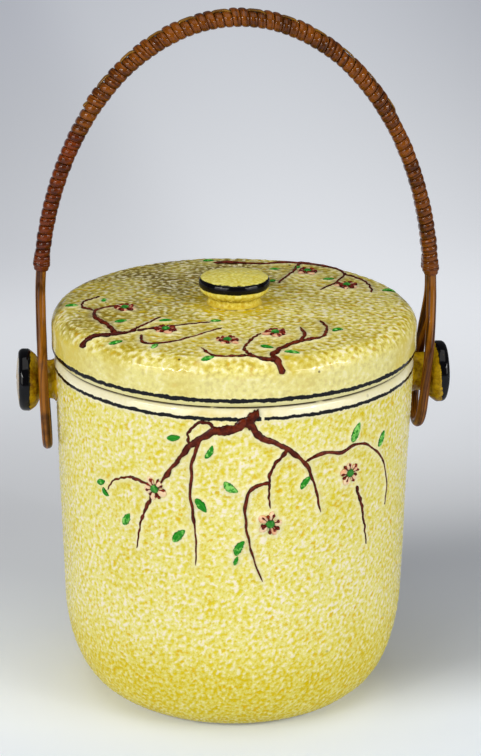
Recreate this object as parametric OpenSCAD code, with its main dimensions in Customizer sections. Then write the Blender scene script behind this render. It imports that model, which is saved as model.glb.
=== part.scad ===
// Biscuit jar of slip-cast earthenware with a lift-off lid and a rattan-bound cane handle.
// The origin is the centre of the base, +Z is up, and the two lugs stand on the X axis.

/* [Jar] */
// Outside radius of the jar at its shoulder line
jar_r = 72.5; // [60:0.5:90]
// Height of the shoulder line above the table
shoulder_z = 137.7; // [115:0.1:170]
// How much the wall narrows from the shoulder down to the base corner
wall_taper = 2.5; // [0.5:0.1:5]
// Thickness of the jar's wall
wall = 5; // [3.5:0.1:7]
// Thickness of the jar's floor
floor_t = 6; // [4.5:0.1:10]
// Width of the rounded base corner
corner_w = 20; // [12:0.5:26]
// Height of the rounded base corner
corner_h = 41; // [24:0.5:50]
// Width of the ring that the jar stands on
foot_w = 6; // [3:0.5:10]
// Depth of the hollow inside that ring
foot_recess = 1.5; // [0.5:0.1:2.5]
// How far the rim's edge rolls in from the shoulder line
rim_roll_w = 2.3; // [1:0.1:4]
// Height of the rim above the shoulder line
rim_roll_h = 4.3; // [2:0.1:8]
// How far the mouth is narrower than the inside of the wall
mouth_lip = 1.5; // [0.5:0.1:3]
// Depth of that narrower mouth, measured down from the rim
mouth_h = 14; // [11:0.5:24]

/* [Lid] */
// How far the lid's wall stands out beyond the jar's shoulder
lid_overhang = 0.8; // [0:0.1:3]
// Height of the lid's rolled lower edge, from the rim up to its painted line
lid_roll_h = 3.1; // [1.5:0.1:5]
// Height of the lid's upright wall
lid_wall_h = 8; // [4:0.5:20]
// Radius of the lid's rounded shoulder
lid_corner_r = 7.3; // [4:0.1:12]
// Rise of the lid's top from its shoulder to the knob
lid_rise = 1.1; // [0.2:0.1:8]
// Thickness of the lid
lid_t = 5; // [3.5:0.1:7]
// Depth of the flange that keeps the lid in the mouth
flange_h = 9; // [5:0.5:10.5]
// Thickness of that flange
flange_t = 4.5; // [3:0.1:6]
// Gap all round between the flange and the mouth
flange_gap = 0.8; // [0.3:0.1:1.5]

/* [Knob] */
// Radius of the knob's face
knob_r = 14.3; // [10:0.1:20]
// Radius of the knob's neck
knob_neck_r = 10.4; // [6:0.1:12]
// Radius of the knob's foot, where it is luted to the lid
knob_foot_r = 11; // [10:0.1:13]
// Height of the knob from the lid to the edge of its face
knob_h = 10.5; // [9:0.1:16]
// Height of the knob's painted edge
knob_edge_h = 3.1; // [2:0.1:4]
// Rise of the knob's face above its edge
knob_crown = 0.8; // [0.2:0.1:2]

/* [Lugs] */
// Depth of the lugs' axis below the rim
lug_drop = 11.7; // [11:0.1:40]
// Radius of a lug's neck
neck_r = 7.8; // [5:0.1:10]
// How far the neck flares out where it is luted to the jar
neck_flare = 1.1; // [0.5:0.1:1.5]
// How far the flare of the head reaches in over the side of the right cane
head_tuck = 0.5; // [0:0.1:0.8]
// Radius of a lug's head
head_r = 12.6; // [10:0.1:18]
// Length of the cone under the head
head_cone_l = 3.4; // [1.5:0.1:5]
// Thickness of the head's painted edge
head_edge_l = 4.8; // [2:0.1:8]
// Rise of the head's outer face
head_crown = 0.9; // [0.2:0.1:2]

/* [Cane handle] */
// Radius of one cane
cane_r = 2; // [1.5:0.1:2.6]
// Gap between the two canes that lie side by side
cane_gap = 0.3; // [0.2:0.1:1]
// Gap between the lid's edge and each leg of the handle, before it leans
leg_gap = 3; // [2.2:0.1:6]
// Rise of the arch above the level where its legs are upright
arch_rise = 112.2; // [90:0.1:150]
// Height of that level above the lugs' axis
spring_h = 32.7; // [30:0.1:60]
// Sideways lean of the whole handle
lean = 1; // [-1:0.1:1]
// Gap on each side between a cane and the neck that it goes round
loop_gap = 0.5; // [0.3:0.1:0.8]
// Length of the left loop below the lugs' axis, to the middle of the cane
left_tail = 27.2; // [20:0.1:34]
// Length of the right loop below the lugs' axis, to the middle of the cane
right_tail = 21.3; // [20:0.1:34]
// How far the left loop toes in at the reference depth
left_toe = 1.6; // [0:0.1:2]
// How far the right loop toes in at the reference depth
right_toe = 4.6; // [0:0.1:4.7]
// Bow of the left leg: near 1 it leans in a straight line, at 2 it curves in towards the loop
left_bow = 2; // [1.2:0.1:2]
// Bow of the right leg
right_bow = 1.2; // [1.2:0.1:2]

/* [Binding] */
// Thickness of the split-cane strip
strip_t = 0.9; // [0.6:0.05:1.2]
// Least space left between one turn of the strip and the next
turn_gap = 0.47; // [0.42:0.01:0.8]
// Clearance between the strip and the canes inside it
strip_gap = 0.15; // [0.1:0.05:0.3]
// Turns of the dark strip on the left arm
left_turns = 16; // [8:1:20]
// Turns of the strip over the crown
crown_turns = 51; // [30:1:56]
// Turns of the strip on the right arm
right_turns = 16; // [8:1:20]
// Height of the left collar's middle above the lugs' axis
left_collar_h = 48.2; // [44:0.1:56]
// Height of the right collar's middle above the lugs' axis
right_collar_h = 43.6; // [42:0.1:56]
// Length between a collar and the middle of the first turn
turn_room = 1.9; // [1.8:0.1:3]
// Length of a collar along the canes
collar_l = 3.8; // [2.5:0.1:6]
// Thickness of a collar at its middle
collar_t = 1.3; // [0.8:0.1:1.4]
// Half of the length of the leader strip, as a share of the crown binding
leader_share = 0.44; // [0.2:0.01:0.6]
// Width of the leader strip
leader_w = 3.4; // [2:0.1:5]
// Thickness of the leader strip
leader_t = 0.8; // [0.5:0.1:1.2]

/* [Hidden] */
$fn = 96;

LEFT = -1;
RIGHT = 1;
FRONT = -1;
BACK = 1;
EDGE_STEPS = 6;
CORNER_STEPS = 14;

// Jar: radii and heights that the lid, the lugs and the handle share
rim_z = shoulder_z + rim_roll_h;
rim_r = jar_r - rim_roll_w;
base_r = jar_r - wall_taper;
mouth_r = jar_r - wall - mouth_lip;
foot_r = base_r - corner_w;

// Lid
lid_r = jar_r + lid_overhang;
lid_line_z = rim_z + lid_roll_h;
lid_shoulder_z = lid_line_z + lid_wall_h + lid_corner_r;
lid_top_z = lid_shoulder_z + lid_rise;
lid_ceiling_z = lid_shoulder_z - lid_t;
flange_r = mouth_r - flange_gap;
flange_in_r = flange_r - flange_t;
// Bevel at the flange's lower outer edge, which leads it into the mouth
flange_nose = 1;
// The flat on the lid that carries the knob is wider than the knob's foot by this much
SEAT_MARGIN = 1.5;
knob_seat_r = knob_foot_r + SEAT_MARGIN;

// Lugs
lug_z = rim_z - lug_drop;
// Length over which a neck flares out, and how deep that flare starts inside the jar's wall
FLARE_L = 2;
FLARE_SINK = 0.2;
// The cone under a lug's head is hollowed: where its outline bends, as shares of its rise and length
CONE_WAIST_R = 0.55;
CONE_WAIST_X = 0.4;

// The painted edges of the lugs and the knob: rounding outside, and the small bevel inside
HEAD_ROUND = 2.2;
EDGE_ROUND = 0.9;
BEVEL_R = 0.4;
BEVEL_H = 0.6;

// Handle: CANE_SIDES is the number of sides of a cane's section, and the RINGS set its steps along
spring_z = lug_z + spring_h;
arch_half = lid_r + leg_gap + cane_r;
cane_y = cane_r + cane_gap / 2;
loop_y = neck_r + loop_gap + cane_r;
// Depth below the springing at which a loop has toed in by its full amount
TOE_DEPTH = 60;
CANE_SIDES = 8;
ARCH_RINGS = 30;
LEG_RINGS = 14;
BEND_RINGS = 8;
// Gap left from the crown's middle to the end of each strand, along the arch
crown_gap = 0.2;
// The strands leave each other just below the collar and are parallel again above the lug
part_below = 2.5;
parallel_above = 8;

// Lug heads: the flare starts beside the cane that passes the neck furthest out
cane_out_x = arch_half + cane_r + max(lean - right_toe * pow(spring_h / TOE_DEPTH, right_bow),
                                      -lean - left_toe * pow(spring_h / TOE_DEPTH, left_bow));
cone_x = cane_out_x - head_tuck;
edge_x = cone_x + head_cone_l;
face_x = edge_x + head_edge_l;

// Binding: COIL_RINGS is the number of sections in one turn, LEADER_STEPS the steps along the leader
COIL_RINGS = 8;
LEADER_STEPS = 28;
bind_r = cane_r + strip_gap + strip_t / 2;
bind_out = cane_r + strip_gap + strip_t;
// Clearance between a collar and its canes, and between the leader and the binding under it
collar_gap = 0.15;
leader_gap = 0.1;

// A point of the arch's middle line: q runs from 0 on the left to 180 on the right
function arch_point(q) = [lean - arch_half * cos(q), 0, spring_z + arch_rise * sin(q)];

// The arch's direction of travel, and its outward direction, at q
function arch_along(q) =
    let (v = [arch_half * sin(q), 0, arch_rise * cos(q)])
    v / norm(v);
function arch_out(q) =
    let (t = arch_along(q))
    [-t[2], 0, t[0]];

// Table that gives q for a length measured along the arch from its left springing
ARC_STEP = 1.5;
arc_lengths = [
    for (q = 0, s = 0; q <= 180;
         s = s + norm(arch_point(q + ARC_STEP) - arch_point(q)), q = q + ARC_STEP)
        [s, q]
];
arch_len = arc_lengths[len(arc_lengths) - 1][0];
function q_at(s) = lookup(s, arc_lengths);

// Angle q at which an arm of the arch is h above the lugs' axis, on the left arm
function q_of_height(h) = asin((h - spring_h) / arch_rise);
// Length along the arch up to that point
lengths_by_q = [for (row = arc_lengths) [row[1], row[0]]];
function s_of_height(h) = lookup(q_of_height(h), lengths_by_q);

left_start = s_of_height(left_collar_h + collar_l / 2) + turn_room;
right_start = s_of_height(right_collar_h + collar_l / 2) + turn_room;
bound_len = arch_len - left_start - right_start;
all_turns = left_turns + crown_turns + right_turns;
pitch = bound_len / all_turns;
// The turns are closest inside the crown, where the arch bends most
crown_bend_r = arch_half * arch_half / arch_rise;
strip_w = pitch * (1 - (cane_r + strip_gap) / crown_bend_r) - turn_gap;

// Half of the distance between the strands at height z of a leg
function spread(z, top_z) =
    let (low = lug_z + parallel_above)
    let (f = min(1, max(0, (top_z - z) / (top_z - low))))
    cane_y + (loop_y - cane_y) * f * f * (3 - 2 * f);

// A point of a leg's strand at height z, below the springing
function leg_point(side, face, z, toe, bow, top_z) = [
    lean + side * (arch_half - toe * pow((spring_z - z) / TOE_DEPTH, bow)),
    face * spread(z, top_z),
    z
];

// Middle line of one hairpin: down the front strand from the crown, round under the lug, up the back
function cane_path(side, tail, toe, bow, collar_h) =
    let (bend_z = lug_z - tail + loop_y)
    let (top_z = lug_z + collar_h - collar_l / 2 - part_below)
    let (half = arch_len / 2 - crown_gap)
    let (arm = [for (i = [0:ARCH_RINGS])
        let (s = half * (1 - i / ARCH_RINGS))
        let (q = side == LEFT ? q_at(s) : 180 - q_at(s))
        arch_point(q)])
    let (leg_z = [for (i = [1:LEG_RINGS])
        spring_z + (bend_z - spring_z) * i / LEG_RINGS])
    concat(
        [for (p = arm) [p[0], FRONT * spread(p[2], top_z), p[2]]],
        [for (z = leg_z) leg_point(side, FRONT, z, toe, bow, top_z)],
        [for (i = [1:BEND_RINGS - 1])
            let (a = 180 * i / BEND_RINGS)
            let (z = bend_z - loop_y * sin(a))
            [leg_point(side, FRONT, z, toe, bow, top_z)[0], FRONT * loop_y * cos(a), z]],
        [for (i = [LEG_RINGS:-1:1]) leg_point(side, BACK, leg_z[i - 1], toe, bow, top_z)],
        [for (i = [ARCH_RINGS:-1:0])
            [arm[i][0], BACK * spread(arm[i][2], top_z), arm[i][2]]]
    );

// Rings of n points and radius r round a path; the frame turns as little as it can along the way
function path_dirs(path) = [
    for (i = [0:len(path) - 1])
        let (a = path[max(0, i - 1)])
        let (b = path[min(len(path) - 1, i + 1)])
        (b - a) / norm(b - a)
];
function turned(v, t) =
    let (u = v - (v * t) * t)
    u / norm(u);
function path_frames(dirs, first) = [
    for (i = 0, v = turned(first, dirs[0]); i < len(dirs);
         i = i + 1, v = turned(v, dirs[min(i, len(dirs) - 1)]))
        v
];
function round_rings(path, r, n, first) =
    let (dirs = path_dirs(path))
    let (ups = path_frames(dirs, first))
    [for (i = [0:len(path) - 1])
        let (w = cross(dirs[i], ups[i]))
        [for (k = [0:n - 1])
            path[i] + r * (cos(360 * k / n) * ups[i] + sin(360 * k / n) * w)]];

// One closed tube through rings of points that go anticlockwise about its direction of travel
module tube(rings) {
    n = len(rings[0]);
    last = len(rings) - 1;
    sides = [for (i = [0:last - 1], k = [0:n - 1])
        let (a = i * n + k)
        let (b = i * n + (k + 1) % n)
        each [[a, a + n, b], [b, a + n, b + n]]];
    start_cap = [for (k = [1:n - 2]) [0, k, k + 1]];
    end_cap = [for (k = [1:n - 2]) [last * n, last * n + k + 1, last * n + k]];
    polyhedron(points = [for (ring = rings) each ring], faces = concat(sides, start_cap, end_cap));
}

// Middle of the strip where it has turned by angle a, at length s along the arch.
// The two canes make a section with round ends, so the turn's centre steps from cane to cane.
function strip_middle(s, a) =
    let (q = q_at(s))
    let (side = cos(a) > 0 ? 1 : -1)
    let (r = bind_r / cos(180 / COIL_RINGS))
    arch_point(q) + [0, side * cane_y + r * cos(a), 0] + r * sin(a) * arch_out(q);

// The strip's section: flat against the canes and crowned outside, in shares of width and half thickness
STRIP_SECTION = [[-0.5, -1], [-0.5, 0.2], [-0.25, 1], [0.25, 1], [0.5, 0.2], [0.5, -1]];

function strip_ring(s, a) =
    let (q = q_at(s))
    let (along = arch_along(q))
    let (out = [0, cos(a), 0] + sin(a) * arch_out(q))
    let (mid = strip_middle(s, a))
    let (half_t = strip_t / 2)
    [for (p = STRIP_SECTION)
        mid + p[0] * strip_w * along + p[1] * half_t * out];

// Rings of a binding that starts at length s0 and makes a number of turns
function coil_rings(s0, turns) = [
    for (i = [0:turns * COIL_RINGS - 1])
        strip_ring(s0 + pitch * i / COIL_RINGS, 360 * (i + 0.5) / COIL_RINGS)
];

// Least gap between one turn and the next, between the edges that face each other
function coil_gap(rings) = min([
    for (i = [0:len(rings) - COIL_RINGS - 2], j = [COIL_RINGS - 1:COIL_RINGS + 1], k = [0, 1], m = [4, 5])
        norm(rings[i][m] - rings[i + j][k])
]);

// The tube's rings go the other way round where the strip is read along its own travel
module binding(s0, turns, name) {
    rings = coil_rings(s0, turns);
    echo(str(name, " least gap between turns, mm: "), coil_gap(rings));
    tube([for (ring = rings) [for (k = [len(ring) - 1:-1:0]) ring[k]]]);
}

left_end = left_start + pitch * left_turns;
crown_end = left_end + pitch * crown_turns;

// Outline of the jar's outside, from the middle of the base up to the rim
jar_outline = concat(
    [[0, foot_recess], [foot_r - foot_w, foot_recess], [foot_r - foot_w, 0]],
    [for (i = [0:CORNER_STEPS])
        let (a = 90 * i / CORNER_STEPS)
        [foot_r + corner_w * sin(a), corner_h * (1 - cos(a))]],
    [for (i = [0:EDGE_STEPS])
        let (a = 90 * i / EDGE_STEPS)
        [jar_r - rim_roll_w * (1 - cos(a)), shoulder_z + rim_roll_h * sin(a)]]
);

// Outline of the jar's hollow, which follows the outside at the wall's thickness
hollow_outline = concat(
    [[0, floor_t]],
    [for (i = [0:CORNER_STEPS])
        let (a = 90 * i / CORNER_STEPS)
        [foot_r - wall + corner_w * sin(a), floor_t + (corner_h - floor_t) * (1 - cos(a))]],
    [[jar_r - wall, rim_z - mouth_h - mouth_lip], [mouth_r, rim_z - mouth_h],
     [mouth_r, rim_z + 1], [0, rim_z + 1]]
);

module jar_outside() {
    rotate_extrude()
        polygon(concat(jar_outline, [[0, rim_z]]));
}

module jar_body() {
    color("#EBD56A")
        difference() {
            jar_outside();
            rotate_extrude()
                polygon(hollow_outline);
        }
}

// Outline of a lug along its own axis, from inside the jar's wall out to its face
lug_outline = concat(
    [[0, jar_r - wall], [neck_r + neck_flare, jar_r - wall],
     [neck_r + neck_flare, jar_r - FLARE_SINK]],
    [for (i = [1:EDGE_STEPS])
        let (a = 90 * i / EDGE_STEPS)
        [neck_r + neck_flare * (1 - sin(a)), jar_r - FLARE_SINK + FLARE_L * (1 - cos(a))]],
    [[neck_r, cone_x],
     [neck_r + (head_r - neck_r) * CONE_WAIST_R, cone_x + head_cone_l * CONE_WAIST_X],
     [head_r - BEVEL_R, edge_x], [head_r, edge_x + BEVEL_H]],
    [for (i = [0:EDGE_STEPS])
        let (a = 90 * i / EDGE_STEPS)
        [head_r - HEAD_ROUND * (1 - cos(a)), face_x - HEAD_ROUND * (1 - sin(a))]],
    [for (i = [1:EDGE_STEPS])
        let (f = i / EDGE_STEPS)
        [(head_r - HEAD_ROUND) * (1 - f), face_x + head_crown * (1 - pow(1 - f, 2))]]
);

// The lugs end exactly on the jar's wall, where they are luted to it
module lug(side) {
    difference() {
        translate([0, 0, lug_z])
            rotate([0, side * 90, 0])
                rotate_extrude()
                    polygon(lug_outline);
        jar_outside();
    }
}

module left_lug() {
    color("#E3CB57")
        lug(LEFT);
}

module right_lug() {
    color("#E3CB57")
        lug(RIGHT);
}

// Outline of the lid: its top, rolled edge, seat on the rim, flange and underside
lid_outline = concat(
    [[0, lid_top_z], [knob_seat_r, lid_top_z]],
    [for (i = [1:EDGE_STEPS])
        let (f = i / EDGE_STEPS)
        [knob_seat_r + (lid_r - lid_corner_r - knob_seat_r) * f, lid_top_z - lid_rise * f * f]],
    [for (i = [1:CORNER_STEPS])
        let (a = 90 * i / CORNER_STEPS)
        [lid_r - lid_corner_r * (1 - sin(a)), lid_shoulder_z - lid_corner_r * (1 - cos(a))]],
    [for (i = [0:EDGE_STEPS])
        let (a = 90 * i / EDGE_STEPS)
        [rim_r + (lid_r - rim_r) * cos(a), lid_line_z - lid_roll_h * sin(a)]],
    [[flange_r, rim_z], [flange_r, rim_z - flange_h + flange_nose],
     [flange_r - flange_nose, rim_z - flange_h], [flange_in_r, rim_z - flange_h]],
    [for (i = [0:EDGE_STEPS])
        let (a = 90 * i / EDGE_STEPS)
        [flange_in_r - lid_corner_r * (1 - cos(a)),
         lid_ceiling_z - lid_corner_r * (1 - sin(a))]],
    [[0, lid_ceiling_z]]
);

module lid() {
    color("#E6D372")
        rotate_extrude()
            polygon(lid_outline);
}

// Height over which the knob's foot narrows to its neck
KNOB_FOOT_H = 2.2;

// Outline of the knob: foot, waisted neck, flared underside, painted edge and crowned face
knob_edge_z = lid_top_z + knob_h;
knob_flare_z = knob_edge_z - knob_edge_h;
knob_waist_z = lid_top_z + KNOB_FOOT_H;
knob_outline = concat(
    [[0, lid_top_z], [knob_foot_r, lid_top_z]],
    [for (i = [1:EDGE_STEPS])
        let (a = 90 * i / EDGE_STEPS)
        [knob_foot_r - (knob_foot_r - knob_neck_r) * sin(a),
         lid_top_z + (knob_waist_z - lid_top_z) * (1 - cos(a))]],
    [for (i = [1:EDGE_STEPS])
        let (a = 90 * i / EDGE_STEPS)
        [knob_neck_r + (knob_r - BEVEL_R - knob_neck_r) * (1 - cos(2 * a)) / 2,
         knob_waist_z + (knob_flare_z - knob_waist_z) * i / EDGE_STEPS]],
    [[knob_r, knob_flare_z + BEVEL_H]],
    [for (i = [0:EDGE_STEPS])
        let (a = 90 * i / EDGE_STEPS)
        [knob_r - EDGE_ROUND * (1 - cos(a)), knob_edge_z - EDGE_ROUND * (1 - sin(a))]],
    [for (i = [1:EDGE_STEPS])
        let (f = i / EDGE_STEPS)
        [(knob_r - EDGE_ROUND) * (1 - f), knob_edge_z + knob_crown * (1 - pow(1 - f, 2))]]
);

module lid_knob() {
    color("#D9BE4E")
        rotate_extrude()
            polygon(knob_outline);
}

// Each cane is a hairpin: its two strands meet the other cane's strands at the crown
module left_cane() {
    color("#8A5A2B")
        tube(round_rings(cane_path(LEFT, left_tail, left_toe, left_bow, left_collar_h),
                         cane_r, CANE_SIDES, [0, 1, 0]));
}

module right_cane() {
    color("#8A5A2B")
        tube(round_rings(cane_path(RIGHT, right_tail, right_toe, right_bow, right_collar_h),
                         cane_r, CANE_SIDES, [0, 1, 0]));
}

module left_binding() {
    color("#7A3A1C")
        binding(left_start, left_turns, "left_binding");
}

module crown_binding() {
    color("#9A5526")
        binding(left_end, crown_turns, "crown_binding");
}

module right_binding() {
    color("#A35C28")
        binding(crown_end, right_turns, "right_binding");
}

// The leader strip's section, in shares of its width and thickness
LEADER_SECTION = [[-0.5, 0], [0.5, 0], [0.5, 0.6], [0.3, 1], [-0.3, 1], [-0.5, 0.6]];

// Flat strip that lies along the top of the crown binding
module leader_strip() {
    middle = (left_end + crown_end) / 2;
    half = leader_share * (crown_end - left_end);
    low = bind_out + leader_gap;
    rings = [for (i = [0:LEADER_STEPS])
        let (q = q_at(middle + half * (2 * i / LEADER_STEPS - 1)))
        let (out = arch_out(q))
        [for (p = LEADER_SECTION)
            arch_point(q) + [0, p[0] * leader_w, 0] + (low + p[1] * leader_t) * out]];
    color("#B08A4A")
        tube([for (ring = rings) [for (k = [len(ring) - 1:-1:0]) ring[k]]]);
}

// Flat outline round both canes, grown by g
module cane_pair_outline(g) {
    for (side = [FRONT, BACK])
        translate([0, side * cane_y])
            circle(cane_r + g);
    square([2 * (cane_r + g), 2 * cane_y], center = true);
}

// The collar is fullest at its middle: where each step starts, its length and its thickness, as shares
COLLAR_STEPS = [[-0.5, 0.25, 0.55], [-0.25, 0.5, 1], [0.25, 0.25, 0.55]];

module collar(q) {
    p = arch_point(q);
    t = arch_along(q);
    translate(p)
        rotate([0, atan2(t[0], t[2]), 0])
            for (step = COLLAR_STEPS)
                translate([0, 0, step[0] * collar_l])
                    linear_extrude(step[1] * collar_l)
                        difference() {
                            cane_pair_outline(collar_gap + step[2] * collar_t);
                            cane_pair_outline(collar_gap);
                        }
}

module left_collar() {
    color("#84401C")
        collar(q_of_height(left_collar_h));
}

module right_collar() {
    color("#84401C")
        collar(180 - q_of_height(right_collar_h));
}

jar_body();
left_lug();
right_lug();
lid();
lid_knob();
left_cane();
right_cane();
left_binding();
crown_binding();
right_binding();
leader_strip();
left_collar();
right_collar();
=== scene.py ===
"""Looks of the glazed biscuit jar: pot, lid, knob, two ears and a rattan-bound cane handle.

All sizes are in millimetres in the jar's own frame: the origin is the centre of the base, +Z is up,
+X goes through the right ear and the photographed side faces -Y. Meshes are scaled to metres when made.
Azimuths are in degrees: 0 at the front, 90 at the right ear.
"""

from __future__ import annotations

import logging
import math
from dataclasses import dataclass, field
from enum import Enum
from typing import Any

import bpy  # noqa: E402
import numpy as np  # noqa: E402
from mathutils import Matrix, Vector  # noqa: E402

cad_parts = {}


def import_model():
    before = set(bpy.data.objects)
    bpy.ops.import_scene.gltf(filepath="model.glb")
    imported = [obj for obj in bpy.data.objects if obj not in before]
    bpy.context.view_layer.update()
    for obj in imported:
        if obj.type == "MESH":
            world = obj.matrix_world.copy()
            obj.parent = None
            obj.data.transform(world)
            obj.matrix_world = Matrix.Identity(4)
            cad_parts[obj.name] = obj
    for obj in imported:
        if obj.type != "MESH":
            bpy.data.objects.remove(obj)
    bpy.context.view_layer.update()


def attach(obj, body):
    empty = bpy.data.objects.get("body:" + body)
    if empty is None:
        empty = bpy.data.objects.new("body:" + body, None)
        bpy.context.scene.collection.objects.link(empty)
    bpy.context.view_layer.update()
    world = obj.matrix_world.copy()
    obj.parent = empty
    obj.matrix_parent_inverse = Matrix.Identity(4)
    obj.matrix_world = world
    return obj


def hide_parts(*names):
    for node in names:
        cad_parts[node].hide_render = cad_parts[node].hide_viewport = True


LOG = logging.getLogger("biscuit_jar")
MM = 0.001
PHOTO_HEIGHT = 756
Array = np.ndarray
Colour = tuple[float, float, float, float]


class Side(Enum):
    """The two sides of the jar, as signs of X."""

    LEFT = -1
    RIGHT = 1

    @property
    def index(self) -> int:
        """Returns the side's place in a pair of sizes: 0 on the left and 1 on the right."""
        return (self.value + 1) // 2


# ---------------------------------------------------------------- numbers


def srgb(red: int, green: int, blue: int) -> Colour:
    """Turns a display colour into a linear one.

    Args:
        red: Red from 0 to 255.
        green: Green.
        blue: Blue.

    Returns:
        The linear colour, with an alpha of 1.
    """
    scaled = np.array([red, green, blue]) / 255
    linear = np.where(scaled <= 0.04045, scaled / 12.92, ((scaled + 0.055) / 1.055) ** 2.4)
    return (float(linear[0]), float(linear[1]), float(linear[2]), 1.0)


def ease(x: Array, low: float, high: float) -> Array:
    """Returns 3t^2 - 2t^3, where t goes from 0 at low to 1 at high."""
    t = np.clip((np.asarray(x, float) - low) / (high - low), 0, 1)
    return t * t * (3 - 2 * t)


def lengths_along(line: Array) -> Array:
    """Returns the length along a line of points up to each point."""
    steps = np.linalg.norm(np.diff(line, axis=0), axis=1)
    return np.concatenate([[0.0], np.cumsum(steps)])


def spaced(line: Array, count: int) -> Array:
    """Puts points at even lengths along a line.

    Args:
        line: The line's points.
        count: How many points there will be.

    Returns:
        The new points, which begin and end with the line's own.
    """
    lengths = lengths_along(line)
    even = np.linspace(0, lengths[-1], count)
    return np.stack([np.interp(even, lengths, line[:, k]) for k in range(line.shape[1])], -1)


def smooth_line(points: Array, count: int) -> Array:
    """Returns an evenly spaced curve through control points.

    Each span is a Catmull-Rom cubic: 0.5 (2b + (c-a)t + (2a-5b+4c-d)t^2 + (3b-a-3c+d)t^3).

    Args:
        points: The control points, one row each.
        count: How many points the curve gets.

    Returns:
        The curve's points, one row each.
    """
    more = np.concatenate([2 * points[:1] - points[1:2], points, 2 * points[-1:] - points[-2:-1]])
    a, b, c, d = (more[k : len(more) - 3 + k, None] for k in range(4))
    t = np.linspace(0, 1, 24, endpoint=False)[None, :, None]
    spans = 0.5 * (2 * b + (c - a) * t + (2 * a - 5 * b + 4 * c - d) * t**2 + (3 * b - a - 3 * c + d) * t**3)
    return spaced(np.concatenate([spans.reshape(-1, points.shape[1]), points[-1:]]), count)


def round_angles(cols: int) -> Array:
    """Returns azimuths in radians that go once round, from the back."""
    return np.linspace(-np.pi, np.pi, cols, endpoint=False)


def grid(*parts: Array | float) -> Array:
    """Returns vectors whose parts are spread over one common grid."""
    return np.stack(np.broadcast_arrays(*parts), -1)


def padded(values: Array, start: int, size: int) -> Array:
    """Returns the values with zeros before the start and up to the size."""
    return np.pad(values, (start, size - start - len(values)))


def wander(draw: np.random.Generator, items: int, stations: int, waves: int = 5) -> Array:
    """Draws smooth random numbers: sums of sines of random rate and phase.

    Args:
        draw: The source of random numbers.
        items: How many rows there are.
        stations: Numbers in a row.
        waves: Sines in each sum.

    Returns:
        One row per item, of numbers near -1 to 1.
    """
    t = np.linspace(0, 1, stations)[None, None]
    rate = draw.uniform(1, 9, (items, waves, 1))
    phase = draw.uniform(0, 2 * np.pi, (items, waves, 1))
    return np.sin(2 * np.pi * rate * t + phase).sum(1) / math.sqrt(waves / 2)


@dataclass(frozen=True)
class Pebbling:
    """The pebbled face of the cast clay: random waves of about one length, on a tile that repeats.

    Attributes:
        width: Length of the tile along u.
        height: Length of the tile along v.
        wave: Length of one wave, from bump to bump.
        spread: Width of the band of wave numbers, as a share of its middle.
        seed: Start of the random numbers.
    """

    width: float
    height: float
    wave: float = 2.5
    spread: float = 0.62
    seed: int = 11

    def tile(self, cell: float = 0.5) -> Array:
        """Makes the tile: white noise times exp(-((k - k0) / (spread k0))^2), cut off at two deviations.

        Args:
            cell: Size of one cell of the tile.

        Returns:
            Rows along v and columns along u, from -1 to 1.
        """
        rows, cols = round(self.height / cell), round(self.width / cell)
        noise = np.random.default_rng(self.seed).standard_normal((rows, cols))
        kv, ku = np.fft.fftfreq(rows, self.height / rows), np.fft.fftfreq(cols, self.width / cols)
        middle = 1 / self.wave
        distance = (np.hypot(kv[:, None], ku[None]) - middle) / (self.spread * middle)
        waves = np.fft.ifft2(np.fft.fft2(noise) * np.exp(-(distance**2))).real
        return np.clip(waves / waves.std() / 2, -1, 1)

    def at(self, u: Array, v: Array) -> Array:
        """Reads the tile at flat points, weighted from the four cells round each.

        Args:
            u: Places along the tile's width.
            v: Places along its height.

        Returns:
            The pebbling there, from -1 to 1.
        """
        tile = self.tile()
        rows, cols = tile.shape
        y, x = v / self.height * rows, u / self.width * cols
        row, col = np.floor(y).astype(int), np.floor(x).astype(int)
        fy, fx = y - row, x - col
        near = [tile[(row + dy) % rows, (col + dx) % cols] for dy in (0, 1) for dx in (0, 1)]
        low = near[0] * (1 - fx) + near[1] * fx
        return low * (1 - fy) + (near[2] * (1 - fx) + near[3] * fx) * fy


# ---------------------------------------------------------------- meshes


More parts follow.
